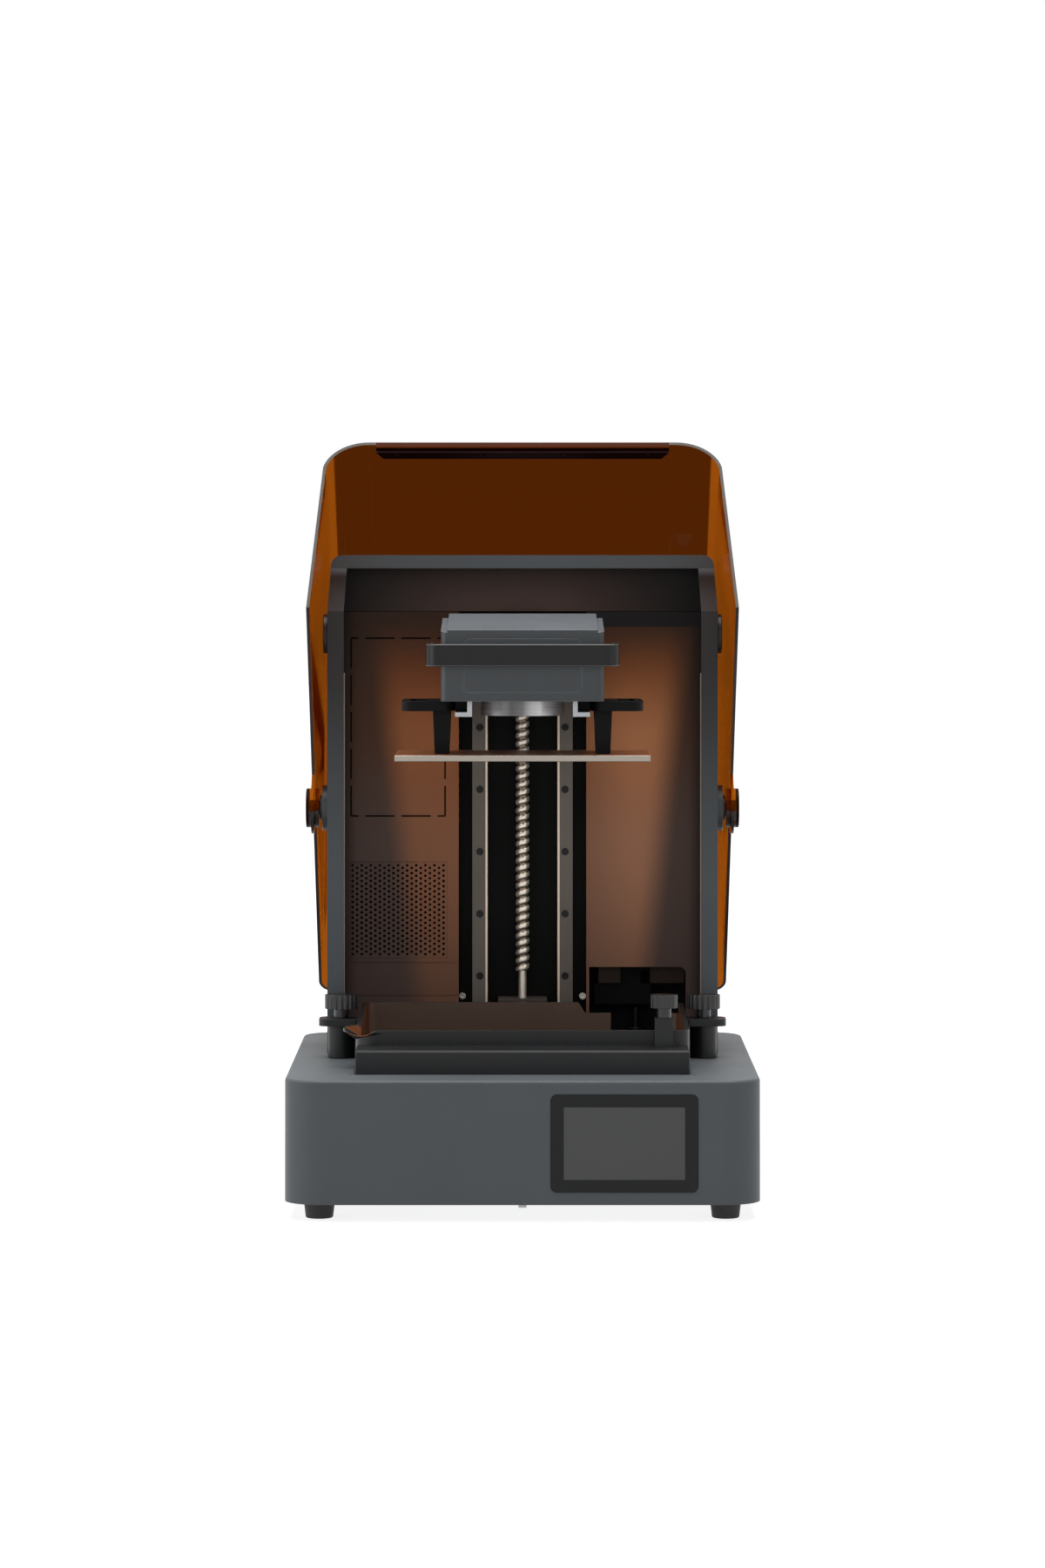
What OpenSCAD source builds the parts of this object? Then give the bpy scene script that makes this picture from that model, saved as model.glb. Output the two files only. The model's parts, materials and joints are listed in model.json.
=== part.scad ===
// Desktop resin printer with a flip-up lid. Millimetres.
// X runs to the right, Y to the back, Z up. The origin is on the floor, under the middle of the base.

/* [Base] */
// Width of the base
base_w = 356; // [340:1:420]
// Depth of the base
base_d = 380; // [370:1:440]
// Height of the base casing, without the feet
base_h = 92.5; // [90:0.5:130]
// Radius of the base's upright corners
base_corner_r = 29; // [15:1:40]
// Rounding of the deck's edge
deck_round = 2.5; // [1:0.5:5]
// Wall of the base casing
base_wall = 3; // [2:0.5:5]
// Height of the feet
foot_h = 13; // [8:1:20]
// Diameter of a foot at its top
foot_d = 23.5; // [18:0.5:30]
// Distance of the feet from the sides
foot_inset_x = 25.8; // [20:0.1:45]
// Distance of the feet from the front and the back
foot_inset_y = 30; // [20:1:60]
// Thickness of the floor plate
floor_t = 2; // [1.5:0.5:4]

/* [Touch screen] */
// Width of the screen's glass
screen_w = 109.6; // [90:0.2:125]
// Height of the screen's glass
screen_h = 72.5; // [60:0.5:80]
// Distance of the glass from the middle of the front, to its centre
screen_x = 75.8; // [60:0.2:85]
// Height of the glass's centre above the casing's lower edge
screen_z = 45.8; // [42:0.2:46]
// Corner radius of the glass
screen_r = 4.5; // [2:0.5:8]
// Width of the display area
display_w = 90.3; // [70:0.1:92]
// Height of the display area
display_h = 54; // [40:0.5:56]
// How far the glass stands out of the front
screen_proud = 0.6; // [0.2:0.1:1.5]

/* [Chamber] */
// Width of the chamber
chamber_w = 306; // [296:1:310]
// Distance of the chamber's front edge from the base's front
chamber_setback = 202.5; // [190:0.5:215]
// Depth of the chamber
chamber_d = 152.5; // [146:0.5:155]
// Height of the chamber above the seam between its back panels
upper_h = 45.1; // [40:0.1:50]
// Height of the bend in the front edge above the seam
kink_rise = 1.4; // [-6:0.2:6]
// How far the front edge leans back at its top
chamber_lean = 74; // [60:1:80]
// Height of the bar above the opening
top_bar_h = 10.5; // [9:0.5:18]
// Width of the flange on each side of the opening
flange_w = 12.8; // [9:0.2:20]
// Radius of the chamber's upper corners seen from the front
chamber_corner_r = 9; // [5:1:14]
// Wall of the chamber
chamber_wall = 3; // [2:0.5:4]
// Diameter of the round buffers on the chamber's sides
buffer_d = 31; // [20:1:32]
// Radius of the roof's rear edge
roof_r = 72; // [66:1:80]
// Distance of the back panel from the chamber's front edge
panel_setback = 97.5; // [94:0.5:100]
// Thickness of the back panel
panel_t = 2.5; // [2:0.5:4]
// Room between the raised carriage and the seam above it
seam_gap = 12; // [8:0.5:20]
// Half width of the window in front of the Z axis
window_half = 51.2; // [50:0.2:54]

/* [Air vent and filter] */
// Number of hole columns in the vent
vent_cols = 21; // [9:2:25]
// Spacing of the hole columns
vent_pitch_x = 3.65; // [3.4:0.05:3.8]
// Spacing of the holes in one column
vent_pitch_z = 4.2; // [3.6:0.1:4.6]
// Holes in a long column
vent_rows = 18; // [8:1:18]
// Diameter of a vent hole
vent_hole_d = 2.2; // [1.2:0.1:2.4]
// Distance of the vent's middle from the centre
vent_x = 99.9; // [99:0.1:101]
// Height of the vent's middle above the deck
vent_z = 105.5; // [103:0.5:112]
// Width of the slotted frame in front of the filter
slot_frame_w = 75.5; // [60:0.5:78]
// Height of the slotted frame
slot_frame_h = 142.7; // [120:0.1:144]
// Height of the slotted frame's middle above the deck
slot_frame_z = 252.2; // [250:0.1:256]
// Width of the slots
slot_w = 1.3; // [0.8:0.1:2]

/* [Z axis] */
// Distance of a rail from the centre
rail_x = 34.2; // [33:0.1:36]
// Width of a rail
rail_w = 12.2; // [10:0.1:15]
// Depth of a rail
rail_t = 10; // [8:0.5:12]
// Height of a rail's lower end above the deck
rail_z0 = 30; // [20:1:36]
// Distance of the rails' upper ends below the seam
rail_top_gap = 3.2; // [2:0.2:10]
// Spacing of the rail screws
rail_screw_pitch = 50; // [25:1:60]
// Diameter of the ball screw
screw_d = 11; // [9:0.5:13]
// Lead of the ball screw
screw_lead = 6.7; // [4:0.1:8]
// Depth of the ball groove
screw_groove = 0.9; // [0.4:0.1:1.2]
// Diameter of the screw's journals
journal_d = 6.4; // [5:0.1:8]
// Travel of the head
head_travel = 227.5; // [180:0.5:228]

/* [Head] */
// Width of the head at its lower edge
head_w = 124.8; // [118:0.2:132]
// Depth of the head's cover
head_d = 105; // [100:1:110]
// Height of the head's front
head_front_h = 55; // [50:1:60]
// Rise of the head's top towards the back
head_rise = 10.6; // [4:0.1:14]
// Radius of the head's front corners
head_corner_r = 6; // [3:0.5:10]
// Distance of the head's front from the middle of the platform
head_reach = 55; // [52:1:60]
// Height of the head's lower edge above the build plate's top
head_gap = 41.4; // [38:0.2:50]
// Diameter of the head's clamping disc
disc_d = 64; // [50:1:70]
// Height of the clamping disc
disc_h = 12.2; // [8:0.1:14]
// Height of the lever's band
lever_h = 17; // [12:0.5:22]
// Thickness of the lever's band
lever_t = 5; // [3:0.5:6]
// Outer radius of the lever's bends
lever_r = 12; // [8:1:18]
// Gap between the head and the lever's arms
lever_gap = 6.5; // [4:0.5:9]

/* [Build platform] */
// Width of the build plate
plate_w = 195.4; // [170:0.2:198]
// Depth of the build plate
plate_d = 100; // [80:1:110]
// Thickness of the build plate
plate_t = 4.7; // [3:0.1:8]
// Distance of the platform's middle from the base's front
plate_setback = 150; // [146:1:154]
// Length of a handle across the platform
handle_len = 50; // [44:0.5:54]
// Thickness of a handle
handle_t = 8.2; // [6:0.1:9]
// Depth of a handle
handle_d = 66; // [50:1:80]
// Width of a handle's post at its top
post_top_w = 13.8; // [10:0.1:18]
// Width of a handle's post at its foot
post_foot_w = 10.9; // [8:0.1:14]

/* [Vat] */
// Width of the vat
vat_w = 254; // [240:1:258]
// Distance of the vat's front block from the base's front
vat_setback = 43; // [35:1:50]
// Depth of the vat's front block
ledge_d = 33; // [25:1:36]
// Height of the vat's front block
ledge_h = 18.2; // [14:0.2:22]
// Depth of the basin
basin_d = 174; // [165:1:180]
// Height of the basin's front rim above the deck
rim_front_h = 30; // [28:0.5:34]
// Height of the basin's rear rim above the deck
rim_rear_h = 36; // [32:0.5:40]
// Wall of the vat
vat_wall = 3.5; // [2.5:0.5:5]
// Corner radius of the basin
basin_r = 12; // [8:1:20]
// Thickness of the vat's floor
vat_floor_t = 3; // [2:0.5:5]
// Width of the film window
film_w = 206; // [200:1:212]
// Depth of the film window
film_d = 126; // [116:1:130]
// Distance of the side thumb screws from the vat's side
knob_out = 13.8; // [12.5:0.1:16]
// Distance of the thumb screws from the base's front
knob_setback = 172; // [160:1:174]
// Diameter of a side thumb screw's head
knob_d = 25.7; // [20:0.1:26]
// Height of a thumb screw's head
knob_h = 11; // [8:0.5:14]
// Diameter of a thumb screw's shank
shank_d = 8; // [6:0.5:9]

/* [Lid] */
// Angle by which the open lid is turned back
lid_angle = 136; // [120:1:137]
// Distance of the lid's pivot from the base's front
pivot_setback = 250; // [248:0.5:252]
// Depth of the lid's pivot below the chamber's roof
pivot_drop = 200.3; // [198:0.1:202]
// Half width of the lid at its rear edge
lid_rear_half = 167.1; // [165:0.1:170]
// Half width of the lid at its front
lid_front_half = 156.8; // [150:0.1:164]
// Length of the lid's side edge on the deck
lid_side_len = 187.3; // [185:0.1:195]
// Distance of the side edge's rear end from the pivot
lid_edge_back = 34.4; // [30:0.1:38]
// Height of the lid's roof above the pivot
lid_roof_h = 216; // [214:0.5:220]
// Radius of the front corners at the lid's lower edge
lid_corner_r = 37; // [30:1:40]
// Radius of the front corners higher up
lid_edge_r = 8; // [5:1:12]
// Wall of the lid's sides
lid_wall = 2.4; // [2:0.1:4]
// Wall of the lid's front
lid_front_wall = 3; // [2:0.1:4]
// Diameter of the lid's pivot bosses
boss_d = 31; // [26:1:34]
// Diameter of the hinge pins
pin_d = 12; // [8:0.5:14]

/* [Hidden] */

$fn = 96;
eps = 0.01;
run_gap = 0.05;    // radial clearance of a running fit
fit_gap = 0.3;     // clearance between pieces that only sit side by side

front_y = -base_d / 2;
rear_y = base_d / 2;
deck_z = foot_h + base_h;
floor_z = foot_h + floor_t;

film_z = deck_z + 5;              // underside of the release film
film_t = 0.3;
film_frame_t = 2.5;
vat_floor_z = film_z + film_t;

plate_y = front_y + plate_setback;
plate_low_z = film_z + film_t + fit_gap;
plate_z = plate_low_z + head_travel;
plate_top_z = plate_z + plate_t;
head_z = plate_top_z + head_gap;
head_y0 = plate_y - head_reach;
head_y1 = head_y0 + head_d;

block_t = 22;
block_w = 27;
block_h = 60;
block_z = head_z - 6;             // underside of the carriage blocks

seam_z = block_z + block_h + seam_gap;
seam_h = seam_z - deck_z;
roof_z = seam_z + upper_h;
kink_z = seam_z + kink_rise;
chamber_y0 = front_y + chamber_setback;
chamber_y1 = chamber_y0 + chamber_d;
lean_y = chamber_y0 + chamber_lean;
panel_y = chamber_y0 + panel_setback;
chamber_in_half = chamber_w / 2 - chamber_wall;
open_half = chamber_w / 2 - flange_w;

pivot_y = front_y + pivot_setback;
pivot_z = roof_z - pivot_drop;
pivot_h = pivot_z - deck_z;

column_y = panel_y + 14;          // front face of the Z column
column_t = 12;
rail_z1 = seam_h - rail_top_gap;
rail_y0 = column_y - rail_t;      // front face of the rails
block_y0 = panel_y - 12;          // front face of the carriage blocks
carriage_t = 8;
screw_y = panel_y + 1;
nut_d = 24;

lcd_proud = 1.5;
guide_in_x = 38.5;                // inner face of the platform guides
guide_t = 3.8;
guide_foot = 13.1;
guide_foot_t = 3.7;
guide_len = 90;
lever_pivot_y = plate_y + 5;
lever_pivot_z = head_z + 35.4;
shaft_d = 8;

ledge_y0 = front_y + vat_setback;
basin_y0 = ledge_y0 + ledge_d;
basin_y1 = basin_y0 + basin_d;
lug_z = deck_z + 25.3;            // underside of the vat's lugs
lug_t = 5.4;
lug_d = 28;
lug_reach = 17.2;                 // from a side thumb screw to the lug's end
knob_x = vat_w / 2 + knob_out;
knob_y = front_y + knob_setback;
front_knob_x = vat_w / 2 - 20;
front_knob_y = basin_y0 - 7.5;
front_knob_d = 20.6;
front_column_w = 13.7;
front_column_h = 40.5;

grey = "#4f5356";
black = "#1b1b1c";
amber = "#a4510a";
steel = "#b8b8ba";
brown_grey = "#4a4341";

// ---------- helpers ----------

module rounded_rect(w, d, r) {
  square([w - 2 * r, d], center = true);
  square([w, d - 2 * r], center = true);
  for (sx = [-1, 1], sy = [-1, 1])
    translate([sx * (w / 2 - r), sy * (d / 2 - r)]) circle(r);
}

module rounded_plate(w, d, r, h) {
  linear_extrude(h) rounded_rect(w, d, r);
}

// A plate in the XZ plane that starts at y = 0 and runs back by t
module upright_plate(w, h, r, t) {
  rotate([90, 0, 0]) translate([0, 0, -t]) linear_extrude(t) rounded_rect(w, h, r);
}

// A slab with a rounded upper edge
module soft_slab(w, d, r, h, f) {
  linear_extrude(h - f) rounded_rect(w, d, r);
  linear_extrude(h) rounded_rect(w - 2 * f, d - 2 * f, r - f);
  for (s = [-1, 1]) {
    translate([-(w / 2 - r), s * (d / 2 - f), h - f]) rotate([0, 90, 0]) cylinder(r = f, h = w - 2 * r);
    translate([s * (w / 2 - f), d / 2 - r, h - f]) rotate([90, 0, 0]) cylinder(r = f, h = d - 2 * r);
  }
  for (sx = [-1, 1], sy = [-1, 1])
    translate([sx * (w / 2 - r), sy * (d / 2 - r), h - f])
      rotate_extrude() translate([r - f, 0]) circle(f, $fn = 32);
}

// Draws its children on the left and the right
module both_sides() {
  children();
  mirror([1, 0, 0]) children();
}

// Extrudes a shape drawn in (y, z) along X over +-half
module side_extrude(half) {
  translate([-half, 0, 0]) rotate([90, 0, 90]) linear_extrude(2 * half) children();
}

// Cap screw with its head's underside at z = 0, pointing down
module cap_screw(d, len) {
  difference() {
    union() {
      translate([0, 0, -len]) cylinder(d = d, h = len, $fn = 24);
      cylinder(d = 1.8 * d, h = d, $fn = 32);
    }
    translate([0, 0, d * 0.45]) cylinder(d = d * 0.95, h = d, $fn = 6);
  }
}

// Turns a piece that points along +Z so that it points along +Y
module facing_back() {
  rotate([-90, 0, 0]) children();
}

// ---------- base ----------

module base_shell() {
  window_w = film_w + 18;
  window_d = film_d + 14;
  color(grey) difference() {
    translate([0, 0, foot_h]) soft_slab(base_w, base_d, base_corner_r, base_h, deck_round);
    translate([0, 0, foot_h - 1])
      rounded_plate(base_w - 2 * base_wall, base_d - 2 * base_wall,
                    base_corner_r - base_wall, base_h - base_wall + 1);
    translate([0, plate_y, deck_z - base_wall - 1])
      rounded_plate(window_w, window_d, 4, base_wall + 2);
    translate([screen_x, front_y - 1, foot_h + screen_z])
      upright_plate(screen_w + 0.4, screen_h + 0.4, screen_r + 0.2, 1 + screen_seat);
    translate([screen_x, front_y - 1, foot_h + screen_z])
      upright_plate(display_w + 4, display_h + 4, 2, base_wall + 2);
    translate([0, screw_y, deck_z - base_wall - 1]) cylinder(d = coupler_d + 4, h = base_wall + 2);
    // dimples beside the vat's front block
    both_sides() translate([vat_w / 2 + 2.2, ledge_y0 - 3, deck_z - 1.5]) cylinder(d = 3, h = 3, $fn = 24);
    translate([inlet_x, rear_y - base_wall - 1, inlet_z])
      upright_plate(inlet_w + 0.4, inlet_h + 0.4, 2, base_wall + 2);
    translate([rocker_x, rear_y - base_wall - 1, inlet_z])
      upright_plate(rocker_w + 2, rocker_h + 2, 1, base_wall + 2);
  }
}

screen_seat = 2;
coupler_d = 18;
inlet_x = -110;
inlet_z = foot_h + 38;
inlet_w = 28;
inlet_h = 22;
rocker_x = inlet_x + 36;
rocker_w = 14;
rocker_h = 20;
plinth_inset = 0.5;

module base_floor() {
  color("#8d9092") translate([0, 0, foot_h]) difference() {
    rounded_plate(base_w - 2 * (base_wall + plinth_inset), base_d - 2 * (base_wall + plinth_inset),
                  base_corner_r - base_wall - plinth_inset, floor_t);
    for (x = [-40:20:40], y = [-20:20:20])
      translate([x, plate_y + y, -1]) rounded_plate(4, 14, 1.9, floor_t + 2);
    floor_screw_places() translate([0, 0, -1]) cylinder(d = floor_screw_d + 0.4, h = floor_t + 2, $fn = 24);
    foot_places() translate([0, 0, -1]) cylinder(d = foot_stud_d + 0.2, h = floor_t + 2, $fn = 24);
  }
  // tab that a finger pulls the floor off by
  color("#2c2e30") translate([-3, front_y + base_wall + plinth_inset, foot_h - 2.4]) cube([6, 3, 2.4 + eps]);
}

floor_screw_d = 3;
foot_stud_d = 6;

module foot_places() {
  for (sx = [-1, 1], sy = [-1, 1])
    translate([sx * (base_w / 2 - foot_inset_x), sy * (base_d / 2 - foot_inset_y), 0]) children();
}

module floor_screw_places() {
  for (sx = [-1, 1], sy = [-1, 0, 1])
    translate([sx * (base_w / 2 - foot_inset_x + 4), sy * (base_d / 2 - foot_inset_y - 24), 0]) children();
}

module feet() {
  color(black) foot_places() {
    cylinder(d1 = foot_d - 3, d2 = foot_d, h = foot_h);
    cylinder(d = foot_stud_d, h = foot_h + floor_t + 2, $fn = 32);
  }
}

module screen_glass() {
  color(black) difference() {
    translate([screen_x, front_y - screen_proud, foot_h + screen_z])
      upright_plate(screen_w, screen_h, screen_r, screen_proud + screen_seat - 0.1);
    translate([screen_x, front_y - 0.1, foot_h + screen_z])
      upright_plate(display_w, display_h, 0.5, screen_seat + 1);
  }
}

module screen_display() {
  color("#3c3d3f") translate([screen_x, front_y, foot_h + screen_z])
    upright_plate(display_w - 0.2, display_h - 0.2, 0.4, screen_seat + base_wall + 3);
}

module lcd_panel() {
  color("#101114") translate([0, plate_y, deck_z - base_wall])
    rounded_plate(film_w + 17.4, film_d + 13.4, 3.7, base_wall + lcd_proud);
}

module lcd_frame() {
  color(steel) translate([0, plate_y, deck_z - base_wall - 2]) difference() {
    rounded_plate(film_w + 34, film_d + 34, 6, 2);
    translate([0, 0, -1]) rounded_plate(film_w - 4, film_d - 4, 3, 4);
  }
}

light_box_w = film_w + 12;
light_box_d = film_d + 12;
light_z = floor_z + 21;
light_box_h = deck_z - base_wall - 2 - light_z;

module light_box() {
  color("#3a3a3c") translate([0, plate_y, light_z]) difference() {
    rounded_plate(light_box_w, light_box_d, 5, light_box_h);
    translate([0, 0, 2]) rounded_plate(light_box_w - 5, light_box_d - 5, 3, light_box_h);
    translate([0, 0, -1]) rounded_plate(led_board_w + 0.6, led_board_d + 0.6, 2.3, 4);
  }
}

led_board_w = 120;
led_board_d = 80;

module led_array() {
  color("#e8e6da") translate([0, plate_y, light_z]) {
    rounded_plate(led_board_w, led_board_d, 2, 1.6);
    for (x = [-45:15:45], y = [-30:15:30])
      translate([x, y, 1.6]) cylinder(d = 6, h = 2.4, $fn = 24);
  }
}

module heat_sink() {
  color("#c3c5c8") translate([0, plate_y, floor_z]) {
    translate([-led_board_w / 2, -led_board_d / 2, 15]) cube([led_board_w, led_board_d, 6]);
    for (i = [0:12])
      translate([-led_board_w / 2 + i * (led_board_w - 2) / 12, -led_board_d / 2, 0])
        cube([2, led_board_d, 15 + eps]);
  }
}

board = [110, 70, 1.6];
psu = [100, 60, 35];
case_inset = 28;                  // from the base's sides to the electronics
board_rear = 35;                  // from the base's rear to the mainboard
psu_rear = 70;                    // from the base's rear to the power supply

module mainboard() {
  color("#1d5a36") translate([base_w / 2 - case_inset - board.x, rear_y - board_rear - board.y, floor_z]) {
    translate([0, 0, 6]) cube(board);
    for (x = [5, board.x - 5], y = [5, board.y - 5]) translate([x, y, 0]) cylinder(d = 5, h = 6.1, $fn = 24);
    translate([20, 20, 7.6 - eps]) cube([16, 16, 1.6]);
    translate([60, 16, 7.6 - eps]) cube([24, 10, 3]);
    translate([10, 56, 7.6 - eps]) cube([60, 8, 9]);
  }
}

module power_supply() {
  color("#9a9da0") translate([-base_w / 2 + case_inset, rear_y - psu_rear - psu.y, floor_z]) cube(psu);
}

module mains_inlet() {
  color(black) translate([inlet_x, 0, inlet_z]) difference() {
    union() {
      translate([0, rear_y - 24, 0]) upright_plate(inlet_w, inlet_h, 1.8, 24);
      translate([0, rear_y, 0]) upright_plate(inlet_w + 8, inlet_h + 8, 3, 2);
    }
    translate([0, rear_y - 16, 0]) upright_plate(inlet_w - 6, inlet_h - 6, 1.5, 20);
  }
  color("silver") for (x = [-7, 0, 7])
    translate([inlet_x + x, rear_y - 17, inlet_z + (x == 0 ? 2 : -2)]) facing_back()
      cylinder(d = 3, h = 13, $fn = 24);
}

rocker_axis_y = rear_y - 3;

module power_rocker() {
  color("#a01818") difference() {
    translate([rocker_x, rear_y - 6, inlet_z]) upright_plate(rocker_w, rocker_h - 1.6, 1, 8);
    translate([rocker_x - rocker_w, rear_y + 2, inlet_z]) rotate([4, 0, 0]) translate([0, 0, 1])
      cube([2 * rocker_w, 3, rocker_h]);
  }
  // trunnions that hold the rocker in its opening
  color("#a01818") translate([rocker_x - rocker_w / 2 - 0.9, rocker_axis_y, inlet_z]) rotate([0, 90, 0])
    cylinder(d = 3, h = rocker_w + 1.8, $fn = 32);
}

// ---------- chamber ----------

// Side view of the chamber as (y, z), shrunk on every side by m
module chamber_profile(m) {
  r = roof_r - m;
  y1 = chamber_y1 - m;
  z1 = roof_z - m;
  difference() {
    polygon([
      [chamber_y0 + m, deck_z], [chamber_y0 + m, kink_z - m * 0.2],
      [lean_y + m, roof_z - top_bar_h + m * 0.2], [lean_y + m, z1],
      [y1, z1], [y1, deck_z]
    ]);
    translate([y1 - r, z1 - r]) difference() {
      square(r + 1);
      circle(r);
    }
  }
}

module chamber_front_view(half, top, r) {
  polygon([[-half, deck_z - 1], [half, deck_z - 1], [half, top - r], [half - r, top], [-half + r, top],
      [-half, top - r]]);
  for (s = [-1, 1]) translate([s * (half - r), top - r]) circle(r);
}

module chamber_solid(m) {
  intersection() {
    side_extrude(chamber_w / 2 - m) chamber_profile(m);
    translate([0, rear_y + 50, 0]) rotate([90, 0, 0]) linear_extrude(base_d + 100)
      chamber_front_view(chamber_w / 2 - m, roof_z - m, chamber_corner_r - m);
  }
}

rear_open_w = chamber_w - 40;
rear_open_h = 250;
rear_open_z = deck_z + 20 + rear_open_h / 2;

module chamber_shell() {
  color(grey) difference() {
    chamber_solid(0);
    translate([0, 0, -eps]) chamber_solid(chamber_wall);
    // opening at the front, up to the bar below the roof
    translate([-open_half, chamber_y0 - 1, deck_z - 1])
      cube([2 * open_half, chamber_lean + chamber_wall + 8, roof_z - top_bar_h - deck_z + 1]);
    // opening at the back for the rear cover
    translate([0, chamber_y1 - chamber_wall - 1, rear_open_z])
      upright_plate(rear_open_w, rear_open_h, 6, chamber_wall + 2);
    both_sides() translate([chamber_in_half - 1, pivot_y, pivot_z]) rotate([0, 90, 0])
      cylinder(d = pin_d + 2 * run_gap, h = chamber_wall + 2);
    rear_cover_screw_places() translate([0, -chamber_wall - 1, 0]) facing_back()
      cylinder(d = 3 + 2 * run_gap, h = chamber_wall + 2, $fn = 24);
  }
}

module rear_cover_screw_places() {
  for (sx = [-1, 1], z = [-0.44, 0, 0.44])
    translate([sx * (rear_open_w / 2 + 5), chamber_y1, rear_open_z + z * rear_open_h]) children();
}

module rear_cover() {
  color("#3f4345") difference() {
    translate([0, chamber_y1, rear_open_z]) upright_plate(rear_open_w + 20, rear_open_h + 14, 6, 2);
    for (i = [0:9])
      translate([-50, chamber_y1 - 1, rear_open_z + 30 + i * 8]) upright_plate(60, 3, 1.4, 4);
    rear_cover_screw_places() translate([0, -1, 0]) facing_back() cylinder(d = 3.4, h = 4, $fn = 24);
  }
}

recess_x0 = 53.5;
recess_x1 = 131;
recess_h = 59.6;
recess_r = 5.6;
vent_w = (vent_cols - 1) * vent_pitch_x + 6;
vent_h = (vent_rows - 1) * vent_pitch_z + 6;
panel_half = chamber_in_half - fit_gap;

// One slotted line of dashes: pairs of [start, length] along the line
module dashes(list, flat) {
  for (d = list)
    if (flat) translate([d[0], -1, -slot_w / 2]) cube([d[1], panel_t + 2, slot_w]);
    else translate([-slot_w / 2, -1, d[0]]) cube([slot_w, panel_t + 2, d[1]]);
}

module slot_frame() {
  w = slot_frame_w;
  h = slot_frame_h;
  gap = 5.5;
  corner = 6;
  n_side = 5;
  side_len = (h - (n_side - 1) * gap) / n_side;
  mid_len = (w - 2 * corner - 3 * gap) / 2;
  across = [[0, corner], [corner + gap, mid_len], [corner + 2 * gap + mid_len, mid_len], [w - corner,
      corner]];
  up = [for (i = [0:n_side - 1]) [i * (side_len + gap), side_len]];
  translate([-vent_x - w / 2, panel_y, deck_z + slot_frame_z - h / 2]) {
    dashes(across, true);
    translate([0, 0, h]) dashes(across, true);
    dashes(up, false);
    translate([w, 0, 0]) dashes(up, false);
  }
}

module back_panel() {
  groove = 0.5;
  color(brown_grey) difference() {
    translate([-panel_half, panel_y, deck_z]) cube([2 * panel_half, panel_t, seam_h - 0.4]);
    translate([-window_half, panel_y - 1, deck_z - 1]) cube([2 * window_half, panel_t + 2, seam_h + 2]);
    translate([-vent_x - vent_w / 2, panel_y - 1, deck_z + vent_z - vent_h / 2])
      cube([vent_w, panel_t + 2, vent_h]);
    slot_frame();
    // cut-out of the resin feed
    translate([recess_x0, panel_y - 1, deck_z - 1])
      cube([recess_x1 - recess_x0, panel_t + 2, recess_h + 1 - recess_r]);
    translate([recess_x0, panel_y - 1, deck_z])
      cube([recess_x1 - recess_x0 - recess_r, panel_t + 2, recess_h]);
    translate([recess_x1 - recess_r, panel_y - 1, deck_z + recess_h - recess_r])
      facing_back() cylinder(r = recess_r, h = panel_t + 2);
    // lines of the service flap
    for (z = [36.2, 62.7])
      translate([-panel_half - 1, panel_y - groove, deck_z + z])
        cube([panel_half - window_half + 2, 2 * groove, 0.8]);
  }
}

module upper_panel() {
  top_z = roof_z - chamber_wall - fit_gap;
  color(brown_grey) translate([-panel_half, panel_y, seam_z])
    cube([2 * panel_half, panel_t, min(upper_panel_h, top_z - seam_z)]);
}

// Height that the roof's inner curve leaves above the seam at the panel's rear face
roof_in_r = roof_r - chamber_wall;
panel_back_over = max(0, panel_y + panel_t - (chamber_y1 - roof_r));
upper_panel_h = roof_z - roof_r + sqrt(roof_in_r * roof_in_r - panel_back_over * panel_back_over)
  - seam_z - 0.6;

module vent_grille() {
  color(brown_grey) translate([-vent_x, panel_y, deck_z + vent_z]) difference() {
    translate([-vent_w / 2 + 0.1, 0.3, -vent_h / 2 + 0.1]) cube([vent_w - 0.2, 1.4, vent_h - 0.2]);
    for (c = [0:vent_cols - 1], r = [0:vent_rows - 1 - (c % 2)])
      translate([(c - (vent_cols - 1) / 2) * vent_pitch_x, 0,
                 (r - (vent_rows - 1) / 2 + (c % 2) / 2) * vent_pitch_z])
        facing_back() cylinder(d = vent_hole_d, h = 3, $fn = 16);
  }
}

flap_screw_z = 36;

// Screws of the floor, the rear cover and the service flap
module case_screws() {
  color(steel) floor_screw_places() translate([0, 0, foot_h]) mirror([0, 0, 1]) cap_screw(floor_screw_d, 7);
  color(steel) rear_cover_screw_places() translate([0, 2, 0]) facing_back() cap_screw(3, 5);
  color(steel) for (x = [-window_half + 3, window_half - 3])
    translate([x, panel_y + 5, deck_z + flap_screw_z]) facing_back() mirror([0, 0, 1])
      cap_screw(3, column_y - panel_y - 5);
}

module side_buffers() {
  color("#2b2d2f") both_sides() translate([chamber_w / 2, buffer_y, buffer_z]) rotate([0, 90, 0])
    cylinder(d = buffer_d, h = buffer_t);
}

buffer_t = 3.8;
buffer_y = chamber_y0 + 22.5;
buffer_z = seam_z - 16.7;

fan_size = 76;
fan_depth = 25;
fan_y = panel_y + panel_t + fit_gap;
fan_bore = 70;

module fan_frame() {
  color(black) translate([-vent_x, fan_y, deck_z + vent_z]) {
    difference() {
      upright_plate(fan_size, fan_size, 4, fan_depth);
      translate([0, -1, 0]) facing_back() cylinder(d = fan_bore, h = fan_depth + 2);
    }
    for (a = [45:90:315]) rotate([0, a, 0]) translate([8, fan_depth - 3, -2])
      cube([fan_bore / 2 - 7.5, 3, 4]);
    translate([0, fan_depth - 3, 0]) facing_back() cylinder(d = 24, h = 3);
    translate([0, 4, 0]) facing_back() cylinder(d = 4, h = fan_depth - 4);
  }
}

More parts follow.
